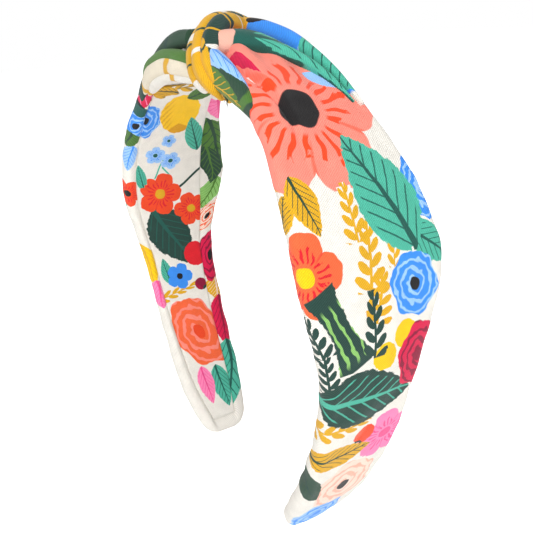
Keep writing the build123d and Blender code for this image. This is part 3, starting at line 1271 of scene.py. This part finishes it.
LEFT_STRIP = (
    Motif(K.SPRIG, 36.0, -3.0, 95, 12.0, 6.5, D.MUSTARD, D.DARK_GREEN, 0),
    Motif(K.LEAF, 36.5, -9.0, 250, 7.5, 3.2, D.MUSTARD, D.BOTTLE, 1),
    Motif(K.LEAF, 40.5, 8.2, 120, 6.5, 4.2, D.OLIVE, D.DARK_GREEN, 2),
    Motif(K.BUD, 51.8, 1.6, 184, 11.2, 7.8, D.PEAR, D.PEAR_SHADE, 1, D.PEAR_SHADE),
    Motif(K.ROSE, 54.0, -11.0, 0, 9.5, 6.0, D.BLUE, D.SKY, 0),
    Motif(K.LEAF, 64.0, 9.0, 195, 9.0, 3.8, D.TEAL, D.DEEP_TEAL, 2),
    Motif(K.FLOWER, 66.0, -0.8, 10, 3.2, 3.0, D.SKY, D.BLUE, 0, D.DEEP_TEAL),
    Motif(K.FLOWER, 72.0, -5.8, 30, 4.2, 4.0, D.SKY, D.BLUE, 1, D.DEEP_TEAL),
    Motif(K.FLOWER, 75.5, 0.4, 80, 4.2, 4.0, D.SKY, D.BLUE, 2, D.DEEP_TEAL),
    Motif(K.STEM, 79.0, -4.4, 150, 5.5, 1.0, D.TEAL, D.TEAL, 0),
    Motif(K.STEM, 80.0, -1.4, 205, 4.6, 1.0, D.TEAL, D.TEAL, 0),
    Motif(K.LEAF, 81.0, -11.5, 190, 6.0, 2.2, D.TEAL, D.DEEP_TEAL, 1),
    Motif(K.FLOWER, 89.8, -4.0, 15, 9.6, 9.0, D.RED_ORANGE, D.RED, 1, D.MUSTARD),
    Motif(K.STEM, 84.5, 9.0, 118, 7.0, 1.6, D.BOTTLE, D.BOTTLE, 0),
    Motif(K.FLOWER, 98.6, 8.6, 50, 7.8, 7.2, D.RED_ORANGE, D.RED, 2, D.MUSTARD),
    Motif(K.LEAF, 108.5, -1.0, 25, 14.5, 8.6, D.BOTTLE, D.DEEP_TEAL, 0),
    Motif(K.BUD, 118.0, 7.4, 0, 5.4, 5.0, D.RED, D.CRIMSON, 1, D.RED),
    Motif(K.FLOWER, 125.8, -1.2, 10, 5.6, 5.6, D.BLUE, D.BLUE, 2),
    Motif(K.LEAF, 122.5, -6.2, 185, 5.5, 2.4, D.TEAL, D.DEEP_TEAL, 0),
    Motif(K.BUD, 131.0, 7.0, 220, 2.8, 2.6, D.DARK_CRIMSON, D.CRIMSON, 1, D.BOTTLE),
    Motif(K.SPRIG, 131.5, -1.0, 100, 10.0, 2.4, D.MUSTARD, D.MUSTARD, 0),
    Motif(K.ROSE, 150.0, 1.0, 20, 17.0, 11.5, D.ORANGE, D.CORAL, 2, D.RED_ORANGE),
    Motif(K.LEAF, 172.0, -2.5, 0, 8.0, 3.4, D.PINK, D.HOT_PINK, 1),
    Motif(K.LEAF, 174.0, 3.5, 0, 9.0, 4.0, D.TEAL, D.DEEP_TEAL, 0),
)


def inner(run: float, across: float) -> float:
    """The sleeve's own distance across of a place on its inner face.

    Args:
        run: The distance along the band.
        across: The place's distance from the middle of the band.

    Returns:
        The distance across the cloth, round the sleeve's edge.
    """
    front, back = EDGES.at(ARCH.angle(run))
    drop = (Sleeve.outside - Sleeve.inside) / 2
    half = 2 * ((front if across < 0 else back) - Sleeve.tuck) + pi * (Sleeve.tuck + drop) / 2
    return (half - abs(across)) * (-1 if across < 0 else 1)


def margin(drawing: Drawing, run: float, across: float, length: float, breadth: float, ink: Dye, line: Dye,
           layer: int) -> Motif:
    """A motif on the sleeve's turned-in margin."""
    return Motif(drawing, run, inner(run, across), 0, length, breadth, ink, line, layer)


LEFT_FACE = (
    margin(K.LEAF, 36.0, -14.5, 14.0, 6.5, D.CRIMSON, D.PINK, 0),
    margin(K.LEAF, 26.0, -14.0, 9.0, 5.0, D.RED_ORANGE, D.CRIMSON, 1),
    margin(K.BUD, 48.5, -15.5, 3.5, 4.5, D.DEEP_TEAL, D.TEAL, 2),
    margin(K.ROSE, 56.0, -14.5, 8.0, 6.0, D.BLUE, D.SKY, 1),
    margin(K.LEAF, 63.0, -16.5, 3.5, 4.0, D.OLIVE, D.DARK_GREEN, 2),
    margin(K.LEAF, 71.0, -16.0, 6.0, 3.0, D.SKY, D.BLUE, 0),
    margin(K.FLOWER, 87.0, -17.0, 6.0, 6.0, D.RED_ORANGE, D.RED, 1),
    margin(K.LEAF, 118.0, -12.5, 9.0, 4.0, D.YELLOW, D.MUSTARD, 1),
    margin(K.LEAF, 131.0, -11.0, 6.0, 4.5, D.PINK, D.HOT_PINK, 2),
    margin(K.LEAF, 52.0, 16.5, 6.5, 5.0, D.PINK, D.HOT_PINK, 0),
    margin(K.LEAF, 70.0, 18.5, 13.0, 8.0, D.OLIVE, D.DARK_GREEN, 1),
    margin(K.LEAF, 80.0, 17.5, 9.0, 5.0, D.DARK_GREEN, D.OLIVE, 2),
    margin(K.LEAF, 93.0, 16.5, 7.0, 5.0, D.LIGHT_GREEN, D.OLIVE, 0),
    margin(K.ROSE, 103.0, 15.0, 7.0, 5.0, D.PEACH, D.ORANGE, 1),
    margin(K.ROSE, 120.0, 13.5, 12.0, 6.0, D.CRIMSON, D.DARK_CRIMSON, 2),
    margin(K.LEAF, 134.0, 13.0, 5.5, 4.5, D.MUSTARD, D.PEACH, 0),
    margin(K.LEAF, 148.0, 12.0, 11.0, 5.0, D.CRIMSON, D.DARK_CRIMSON, 1),
    margin(K.LEAF, 170.0, 9.0, 14.0, 7.0, D.TEAL, D.DEEP_TEAL, 2),
    Motif(K.FLOWER, 60.0, 0.0, 70, 20.0, 18.0, D.BLUE, D.SKY, 0),
    Motif(K.LEAF, 82.0, -10.0, 150, 15.0, 8.0, D.TEAL, D.DEEP_TEAL, 0),
    Motif(K.ROSE, 88.0, 10.0, 0, 12.0, 11.0, D.CRIMSON, D.DARK_CRIMSON, 1),
    Motif(K.SPRIG, 40.0, -6.0, 180, 12.0, 6.0, D.MUSTARD, D.DARK_GREEN, 1),
    Motif(K.FLOWER, 112.0, -2.0, 20, 13.0, 12.0, D.CORAL, D.CORAL_RED, 0),
    Motif(K.LEAF, 130.0, 3.0, 30, 11.0, 6.0, D.OLIVE, D.DARK_GREEN, 0),
    Motif(K.ROSE, 150.0, -2.0, 0, 12.0, 9.0, D.PINK, D.HOT_PINK, 0),
    Motif(K.LEAF, 172.0, 0.0, 0, 12.0, 7.0, D.MUSTARD, D.DARK_GREEN, 0),
)


def arch_path(side: float, *stations: tuple[float, float, float, float, float]) -> Profile:
    """A strand's path over the band.

    Args:
        side: 1 for the right leg, -1 for the left.
        stations: Rows of angle, across, offset, half width and half height. Below 0 is past the top.

    Returns:
        The path, in millimetres.
    """
    count = len(stations) - 1
    rows = []
    for k, (angle, across, offset, wide, high) in enumerate(stations):
        point = ARCH.point(side, abs(angle), across, offset)
        if angle < 0:
            point.x = -point.x
        rows.append((k / count, point.x, point.y, point.z, wide, high))
    return Profile(tuple(rows))


def path(*stations: tuple[float, float, float, float, float]) -> Profile:
    """A strand's path from rows of x, y, z, half width and half height, in millimetres."""
    count = len(stations) - 1
    return Profile(tuple((k / count, *row) for k, row in enumerate(stations)))


WRAP_PATH = path(
    (-13.0, 11.0, 61.5, 2.0, 0.5),
    (-12.0, 14.6, 63.2, 2.8, 1.4),
    (-9.5, 14.6, 66.8, 3.2, 2.2),
    (-6.0, 10.0, 70.0, 3.4, 2.4),
    (-1.5, 3.2, 71.6, 3.5, 2.5),
    (3.0, -4.0, 71.2, 3.5, 2.5),
    (8.0, -9.8, 69.2, 3.4, 2.5),
    (12.6, -13.6, 65.4, 3.3, 2.4),
    (16.6, -15.4, 60.8, 3.0, 2.1),
    (19.0, -14.0, 57.0, 2.7, 1.4),
    (17.6, -10.0, 57.4, 2.4, 0.8),
    (12.0, -4.0, 60.4, 2.0, 0.5),
)


def wash(*patches: tuple[float, float, float, float, Dye, Dye, int]) -> tuple[Motif, ...]:
    """Patches of print on a strand, each (run, across, half length, half breadth, ink, line, layer)."""
    return tuple(
        Motif(K.PATCH, run, across, 0, length, breadth, ink, line, layer)
        for run, across, length, breadth, ink, line, layer in patches
    )


@dataclass
class Knot:
    """The overhand knot at the crown."""

    pleats: tuple[tuple[float, float, float], ...] = (
        (-6.6, -1.2, 0.62), (-3.5, 0.3, 0.64), (-0.3, -0.2, 0.62), (2.9, 0.7, 0.70), (6.0, -1.0, 0.58),
    )
    drawn_in: float = 0.4  # of the pleats, towards their lower end
    threads: int = 44  # loose at the cut end
    thread_width: float = 0.16
    thread_from: float = 0.62  # the share of the cut end where they start
    thread_reach: float = 2.2
    longer: float = 2.4  # how much further the longest reach

    def wrap(self) -> list[bpy.types.Object]:
        """The pleats of the strand that crosses the knot."""
        white, gold, dark, deep = D.OFF_WHITE, D.MUSTARD, D.DARK_GREEN, D.BOTTLE
        prints = (
            wash((5.0, 0.0, 8.0, 20.0, D.CRIMSON, D.PINK, 1), (35.0, 0.0, 6.0, 20.0, white, gold, 0),
                 (48.0, 0.0, 6.0, 20.0, gold, dark, 1), (20.0, 0.0, 6.0, 20.0, deep, dark, 2)),
            wash((9.0, 0.0, 9.0, 20.0, D.BLUE, D.SKY, 1), (29.0, 0.0, 9.0, 20.0, gold, dark, 0),
                 (47.0, 0.0, 6.5, 20.0, gold, dark, 1), (62.0, 0.0, 4.0, 20.0, gold, dark, 2)),
            wash((7.0, 0.0, 7.0, 20.0, gold, dark, 1), (30.0, 0.0, 8.0, 20.0, gold, deep, 0),
                 (50.0, 0.0, 10.5, 20.0, gold, gold, 1), (39.5, 1.0, 1.2, 20.0, white, white, 2)),
            wash((8.0, 0.0, 7.0, 20.0, D.CORAL, D.CORAL_RED, 2), (25.0, 0.0, 7.0, 20.0, deep, gold, 0),
                 (41.0, 0.0, 7.5, 20.0, gold, dark, 1), (56.0, 0.0, 7.0, 20.0, gold, gold, 2)),
            wash((12.0, 0.0, 8.0, 20.0, D.TEAL, D.DEEP_TEAL, 1), (31.0, 0.0, 6.0, 20.0, gold, D.CREAM, 2),
                 (42.5, 0.0, 6.5, 20.0, deep, gold, 0), (57.0, -1.0, 11.0, 6.0, gold, dark, 1)),
        )
        made = []
        for k, ((shift, lift, narrow), own) in enumerate(zip(self.pleats, prints)):
            made.append(Strand(f"knot_wrap_pleat_{k + 1}", WRAP_PATH, own, shift=-shift, lift=lift,
                               narrow=narrow, drawn_in=self.drawn_in, seed=3.0 * k, rows=96).build())
        return made

    def under(self) -> bpy.types.Object:
        """The wrap's flat part under the band, between the head and the knot."""
        route = path(
            (-15.5, 13.0, 60.2, 3.0, 0.25), (-10.5, 9.0, 61.7, 4.6, 0.32), (-5.0, 4.5, 62.65, 5.4, 0.36),
            (0.5, 0.0, 62.95, 5.6, 0.36), (6.0, -4.5, 62.6, 5.4, 0.36), (12.0, -9.0, 61.4, 4.4, 0.32),
            (16.5, -12.5, 60.0, 3.0, 0.25),
        )
        own = wash((10.0, 0.0, 7.0, 20.0, D.MUSTARD, D.DARK_GREEN, 0),
                   (30.0, 0.0, 8.0, 20.0, D.BLUE, D.SKY, 1))
        return Strand("knot_under_band", route, own, seed=53.0, rows=60, fullness=0.5).build()

    def raw_end(self) -> bpy.types.Object:
        """The cut end of the cloth under the knot, with its loose threads."""
        route = path(
            (12.0, -8.8, 60.9, 3.2, 0.4), (16.5, -10.2, 59.7, 3.1, 0.6), (20.4, -11.4, 58.1, 2.8, 0.6),
            (23.0, -12.0, 56.5, 2.4, 0.5), (24.2, -12.3, 55.4, 2.0, 0.35),
        )
        own = wash((8.0, 0.0, 20.0, 20.0, D.BOTTLE, D.BLACK, 0))
        end = Strand("knot_raw_end_cloth", route, own, seed=59.0, rows=30, fullness=0.6)
        cloth = end.mesh()
        for k in range(self.threads):
            share = self.thread_from + (0.98 - self.thread_from) * k / self.threads
            middle, across, out = end.frame(share)
            wide = end.path.at(share)[3]
            aside = 2.0 * ripple(k * 0.73, 1.0, 5.0)
            root = middle + across * (wide * max(min(aside, 0.9), -0.9))
            reach = self.thread_reach + self.longer * abs(ripple(k * 0.61, 7.0, 2.0))
            sideways = 0.1 + 0.8 * ripple(k * 1.3, 2.0, 1.0)
            lead = Vector((sideways, -0.2 + ripple(k * 1.1, 3.0, 4.0), -0.9)).normalized()
            self.thread(cloth.bm, root, lead * reach, out * (0.5 * ripple(k * 0.9, 6.0, 6.0)))
        return cloth.finish(Print(own))

    def thread(self, bm: bmesh.types.BMesh, root: Vector, lead: Vector, bow: Vector) -> None:
        """Add one loose thread to a mesh.

        Args:
            bm: The mesh, with cloth coordinates.
            root: Where the thread starts, in millimetres.
            lead: The way from there to its end.
            bow: How far its middle stands off the straight line.
        """
        sides, steps = 5, 6
        around = lead.orthogonal().normalized()
        third = lead.normalized().cross(around)
        layer = bm.loops.layers.uv["cloth"]
        made = bmesh.ops.create_grid(bm, x_segments=sides, y_segments=steps, size=0.5)["verts"]
        for v in made:
            turn, t = 2 * pi * (v.co.x + 0.5), v.co.y + 0.5
            thick = self.thread_width * (0.5 - 0.3 * t)
            middle = root + lead * t + bow * (4 * t * (1 - t))
            v.co = (middle + around * (cos(turn) * thick) + third * (sin(turn) * thick)) * MM
            for loop in v.link_loops:
                loop[layer].uv = (8.0 + t, 0.0)
        bmesh.ops.remove_doubles(bm, verts=[v for v in made if v.is_boundary], dist=1e-7)
        bmesh.ops.holes_fill(bm, edges=[e for e in bm.edges if e.is_boundary], sides=0)

    def left(self) -> list[bpy.types.Object]:
        """The folds of the left wing's cloth, drawn together under the wrap."""
        folds = (
            (-13.0, -11.4, D.DARK_GREEN, D.BOTTLE, 2.5), (-9.4, -9.8, D.BOTTLE, D.OLIVE, 2.6),
            (-5.4, -7.2, D.MUSTARD, D.DARK_GREEN, 2.7), (-0.8, -3.4, D.OFF_WHITE, D.MUSTARD, 2.8),
            (4.0, 0.6, D.MUSTARD, D.DARK_GREEN, 2.8), (8.8, 5.0, D.BLUE, D.SKY, 2.8),
            (13.0, 9.4, D.CRIMSON, D.PINK, 2.6),
        )
        made = []
        for k, (outer, near, ink, line, wide) in enumerate(folds):
            route = arch_path(
                -1, (42, outer, 3.0, 2.0, 0.8), (32, outer * 0.98, 3.4, wide, 1.4),
                (23, outer * 0.94, 4.1, wide, 1.8), (14, (outer + near) / 2, 5.2, wide, 2.1),
                (6, near, 6.6, 2.6, 2.2), (0, near * 0.9, 7.0, 2.2, 1.8),
            )
            own = wash((28.0, 0.0, 30.0, 20.0, ink, line, 0))
            made.append(Strand(f"knot_left_fold_{k + 1}", route, own, seed=11.0 + 2 * k).build())
        lower = (
            (-14.2, 3.2, 2.3, D.OLIVE, D.OLIVE), (-14.8, 1.0, 2.3, D.CREAM, D.MUSTARD),
            (-13.6, -1.2, 2.1, D.OFF_WHITE, D.MUSTARD),
        )
        for k, (y, offset, wide, ink, line) in enumerate(lower):
            under = arch_path(
                -1, (35, y + 1.6, 1.6 + 0.3 * offset, 1.0, 0.6),
                (28, y + 0.6, 0.7 + 0.75 * offset, wide, 1.5),
                (20, y, offset, wide + 0.2, 2.1), (10, y, offset - 0.4, wide + 0.2, 2.1),
                (0, y + 0.4, offset - 1.6, wide, 2.0), (-9, y + 1.6, offset * 0.5 - 1.6, wide * 0.8, 1.3),
            )
            own = wash((26.0, 0.0, 30.0, 20.0, ink, line, 0))
            made.append(Strand(f"knot_left_under_fold_{k + 1}", under, own, seed=31.0 + 2 * k).build())
        return made

    def right(self) -> list[bpy.types.Object]:
        """The back, middle and front rolls."""
        back = arch_path(
            1, (-4, 1.5, 7.6, 3.2, 2.5), (2, 4.0, 8.0, 3.8, 2.8), (9, 6.6, 7.6, 4.2, 2.7),
            (17, 9.0, 6.6, 4.3, 2.4),
            (25, 11.2, 5.5, 4.0, 1.9), (33, 13.2, 4.7, 3.4, 1.3), (41, 15.0, 4.0, 2.6, 0.7),
        )
        middle = arch_path(
            1, (10, -12.6, 3.0, 2.8, 2.2), (12.5, -11.8, 5.8, 3.2, 2.6), (15, -8.6, 8.0, 3.4, 2.7),
            (17.5, -3.4, 8.6, 3.1, 2.4), (21, 2.4, 7.6, 2.8, 2.1), (26, 7.0, 6.4, 2.6, 1.7),
            (33, 10.6, 5.3, 2.2, 1.1), (40, 13.0, 4.5, 1.6, 0.5),
        )
        front = arch_path(
            1, (5, -11.0, 1.0, 3.6, 2.0), (12, -12.6, 2.2, 4.8, 2.4), (19, -13.2, 2.7, 4.8, 2.5),
            (26, -12.9, 2.6, 4.0, 2.1), (33, -12.6, 2.4, 2.8, 1.5), (39, -12.6, 2.4, 1.4, 0.6),
        )
        blue = (
            Motif(K.PATCH, 10.0, 0.0, 0, 6.5, 20.0, D.MUSTARD, D.CREAM, 1),
            Motif(K.PATCH, 29.0, 0.0, 0, 26.0, 20.0, D.BLUE, D.SKY, 0),
            Motif(K.BUD, 17.5, -3.6, 20, 3.6, 2.0, D.BLACK, D.BLACK, 2),
            Motif(K.LEAF, 42.0, 0.0, 0, 11.0, 14.0, D.TEAL, D.DEEP_TEAL, 1),
        )
        teal = (
            Motif(K.PATCH, 30.0, 0.0, 0, 30.0, 20.0, D.DEEP_TEAL, D.TEAL, 0),
            Motif(K.LEAF, 36.0, 0.0, 0, 15.0, 5.0, D.TEAL, D.DEEP_TEAL, 2),
            Motif(K.BUD, 8.5, 0.0, 0, 8.6, 7.4, D.TAN, D.BEIGE, 1, D.TAN),
        )
        green = (
            Motif(K.PATCH, 24.0, 0.0, 0, 30.0, 26.0, D.DARK_GREEN, D.OLIVE, 0),
            Motif(K.LEAF, 15.0, 5.5, 0, 15.0, 4.6, D.SKY, D.BLUE, 1),
            Motif(K.LEAF, 20.0, -1.6, 4, 11.0, 3.0, D.OLIVE, D.MUSTARD, 2),
            Motif(K.LEAF, 22.0, -5.4, -4, 10.0, 2.2, D.DEEP_TEAL, D.TEAL, 1),
            Motif(K.BUD, 26.0, 14.0, 0, 24.0, 5.5, D.CORAL, D.CORAL_RED, 2, D.CORAL),
        )
        return [
            Strand("knot_back_roll_cloth", back, blue, seed=41.0, rows=80).build(),
            Strand("knot_middle_roll_cloth", middle, teal, seed=43.0, rows=80).build(),
            Strand("knot_front_roll_cloth", front, green, seed=47.0, rows=80).build(),
        ]


@dataclass
class Studio:
    """The camera, the lights and the floor."""

    target: Vector = field(default_factory=lambda: Vector((18.0, -1.5, 3.8)) * MM)
    azimuth: float = 62.0
    elevation: float = 20.7
    distance: float = 0.1967
    roll: float = -4.2
    lens: float = 44.73
    surround: float = 0.36  # the strength of the light from all round
    floor_size: float = 3.0
    floor_tone: float = 0.9
    floor_glow: float = 0.3  # the light that the floor gives back
    floor_white: float = 0.9  # and how bright it looks

    def camera(self) -> None:
        """The camera, at the height and turn of a hand-held view from the right."""
        a, e, r = radians(self.azimuth), radians(self.elevation), radians(self.roll)
        back = Vector((cos(e) * sin(a), -cos(e) * cos(a), sin(e)))
        level = (-back).cross(Vector((0, 0, 1))).normalized()
        upright = level.cross(-back)
        right = level * cos(r) + upright * sin(r)
        up = upright * cos(r) - level * sin(r)
        data = bpy.data.cameras.new("camera")
        data.lens = self.lens
        camera = bpy.data.objects.new("camera", data)
        matrix = Matrix((right, up, back)).transposed().to_4x4()
        matrix.translation = self.target + back * self.distance
        camera.matrix_world = matrix
        bpy.context.scene.collection.objects.link(camera)
        bpy.context.scene.camera = camera

    def light(self, name: str, place: Vector, size: float, power: float) -> None:
        """A square soft light aimed at the middle of the band.

        Args:
            name: Its name.
            place: Where it hangs, in metres.
            size: Its side, in metres.
            power: Its power, in watts.
        """
        data = bpy.data.lights.new(name, "AREA")
        data.size, data.energy = size, power
        lamp = bpy.data.objects.new(name, data)
        lamp.location = place
        lamp.rotation_euler = (self.target - place).to_track_quat("-Z", "Y").to_euler()
        bpy.context.scene.collection.objects.link(lamp)

    def floor(self, height: float) -> None:
        """A plain pale floor.

        Args:
            height: Where it lies, in metres.
        """
        bm = bmesh.new()
        bmesh.ops.create_grid(bm, x_segments=2, y_segments=2, size=self.floor_size)
        bmesh.ops.translate(bm, verts=bm.verts, vec=(0, 0, height))
        mesh = bpy.data.meshes.new("floor")
        bm.to_mesh(mesh)
        bm.free()
        floor = bpy.data.objects.new("floor", mesh)
        material = bpy.data.materials.new("pale_floor")
        material.use_nodes = True
        shader = material.node_tree.nodes["Principled BSDF"]
        shader.inputs["Base Color"].default_value = (*[self.floor_tone] * 3, 1)
        shader.inputs["Roughness"].default_value = 0.9
        shader.inputs["Emission Color"].default_value = (1, 1, 1, 1)
        g = Graph(material.node_tree)
        seen = g.node("ShaderNodeLightPath").outputs["Is Camera Ray"]
        extra = self.floor_white - self.floor_glow
        g.feed(shader.inputs["Emission Strength"], g.scaled(seen, extra, self.floor_glow))
        mesh.materials.append(material)
        bpy.context.scene.collection.objects.link(floor)
        floor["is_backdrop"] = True

    def world(self) -> None:
        """A plain white surround, shown with its own colours."""
        world = bpy.data.worlds.new("white")
        bpy.context.scene.world = world
        world.use_nodes = True
        g = Graph(world.node_tree)
        ground = world.node_tree.nodes["Background"]
        seen = g.node("ShaderNodeLightPath").outputs["Is Camera Ray"]
        g.feed(ground.inputs[0], (1.0, 1.0, 1.0))
        g.feed(ground.inputs[1], g.scaled(seen, 1.0 - self.surround, self.surround))
        bpy.context.scene.view_settings.view_transform = "Standard"

    def build(self, low: float) -> None:
        """Everything that isn't the object.

        Args:
            low: The floor's height, in metres.
        """
        self.camera()
        self.world()
        self.floor(low)
        self.light("key", Vector((0.10, -0.60, 0.52)), 0.25, 2.2)
        self.light("fill", Vector((0.75, -0.20, 0.50)), 0.5, 5.4)
        self.light("back", Vector((-0.5, 0.3, 0.5)), 0.5, 1.2)


FLOOR_GAP = 0.0008  # between the tips and the floor, in metres
BEND = (15.0, 32.0)  # where a leg's bend starts and ends, in degrees from the top
BEND_OFFSET = 2.4  # of the line it is measured on


def bend(piece: bpy.types.Object, side: Side) -> None:
    """Bake a piece's placement into its mesh; the ends of one leg's knuckle are worked out but not used.

    Args:
        piece: The finished piece.
        side: The leg.
    """
    start, end = (ARCH.point(side.value, angle, 0.0, BEND_OFFSET) * MM for angle in BEND)
    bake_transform(piece)


def dress(piece: bpy.types.Object, cotton: bpy.types.Material) -> None:
    """Give a stuffed or folded piece its printed cotton and report it.

    Args:
        piece: The finished piece.
        cotton: The material.
    """
    piece.data.materials.append(cotton)
    log.info("%s: %d faces", piece.name, len(piece.data.polygons))


def leg(side: Side, face: tuple[Motif, ...], strip: tuple[Motif, ...], cotton: bpy.types.Material,
        strip_cotton: bpy.types.Material) -> None:
    """One leg's sleeve and the strip glued inside it.

    Args:
        side: The leg.
        face: The motifs on the sleeve.
        strip: The motifs on the strip.
        cotton: The sleeve's material.
        strip_cotton: The strip's.
    """
    label = side.label
    sleeve = Sleeve(side, face).build()
    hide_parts(f"{label}_cover", f"{label}_front_hem", f"{label}_back_hem", f"{label}_tip_tuck")
    dress(sleeve, cotton)
    bend(sleeve, side)
    inside = InsideStrip(side, strip).build()
    inside.data.materials.append(strip_cotton)
    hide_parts(f"{label}_lining")
    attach(inside, f"{label}_leg")
    log.info("%s: %d faces", inside.name, len(inside.data.polygons))


def knot_pieces(knot: Knot, cotton: bpy.types.Material) -> None:
    """The knot's strands; the wrap's pleats, the part under the band and the cut end are attached to the
    crown.

    Args:
        knot: The knot.
        cotton: Its material.
    """
    pleats = knot.wrap()
    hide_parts("knot_wrap")
    for pleat in pleats:
        dress(pleat, cotton)
        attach(pleat, "crown")
    for piece, node in ((knot.under(), "knot_under_wrap"), (knot.raw_end(), "knot_raw_end")):
        dress(piece, cotton)
        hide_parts(node)
        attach(piece, "crown")
    folds = knot.left()
    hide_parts("knot_left_gather")
    for fold in folds:
        dress(fold, cotton)
        bend(fold, Side.LEFT)
    for roll, node in zip(knot.right(), ("knot_back_roll", "knot_middle_roll", "knot_front_roll")):
        dress(roll, cotton)
        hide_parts(node)
        bend(roll, Side.RIGHT)


def main() -> None:
    """Build the headband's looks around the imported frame."""
    logging.basicConfig(level=logging.INFO, format="%(message)s")
    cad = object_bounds()
    Studio().build(cad[0][2] - FLOOR_GAP)

    groups = {"drawings": Drawings().build(), "weave": weave_group()}
    cotton = PrintedCotton().material(groups)
    strip_cotton = PrintedCotton(name="lining_cotton", pitch=0.5).material(groups)
    plastic = Plain("spring_plastic", rgb("d9d6cf"), 0.4, 900.0).material()
    wadding = Plain("wadding", rgb("f2f1ec"), 0.9, 2500.0).material()
    for name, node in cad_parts.items():
        node.data.materials.clear()
        node.data.materials.append(wadding if "padding" in name else plastic if "core" in name else cotton)

    leg(Side.RIGHT, RIGHT_FACE, RIGHT_STRIP, cotton, strip_cotton)
    leg(Side.LEFT, LEFT_FACE, LEFT_STRIP, cotton, strip_cotton)
    knot_pieces(Knot(), cotton)


if __name__ == "__main__":
    main()
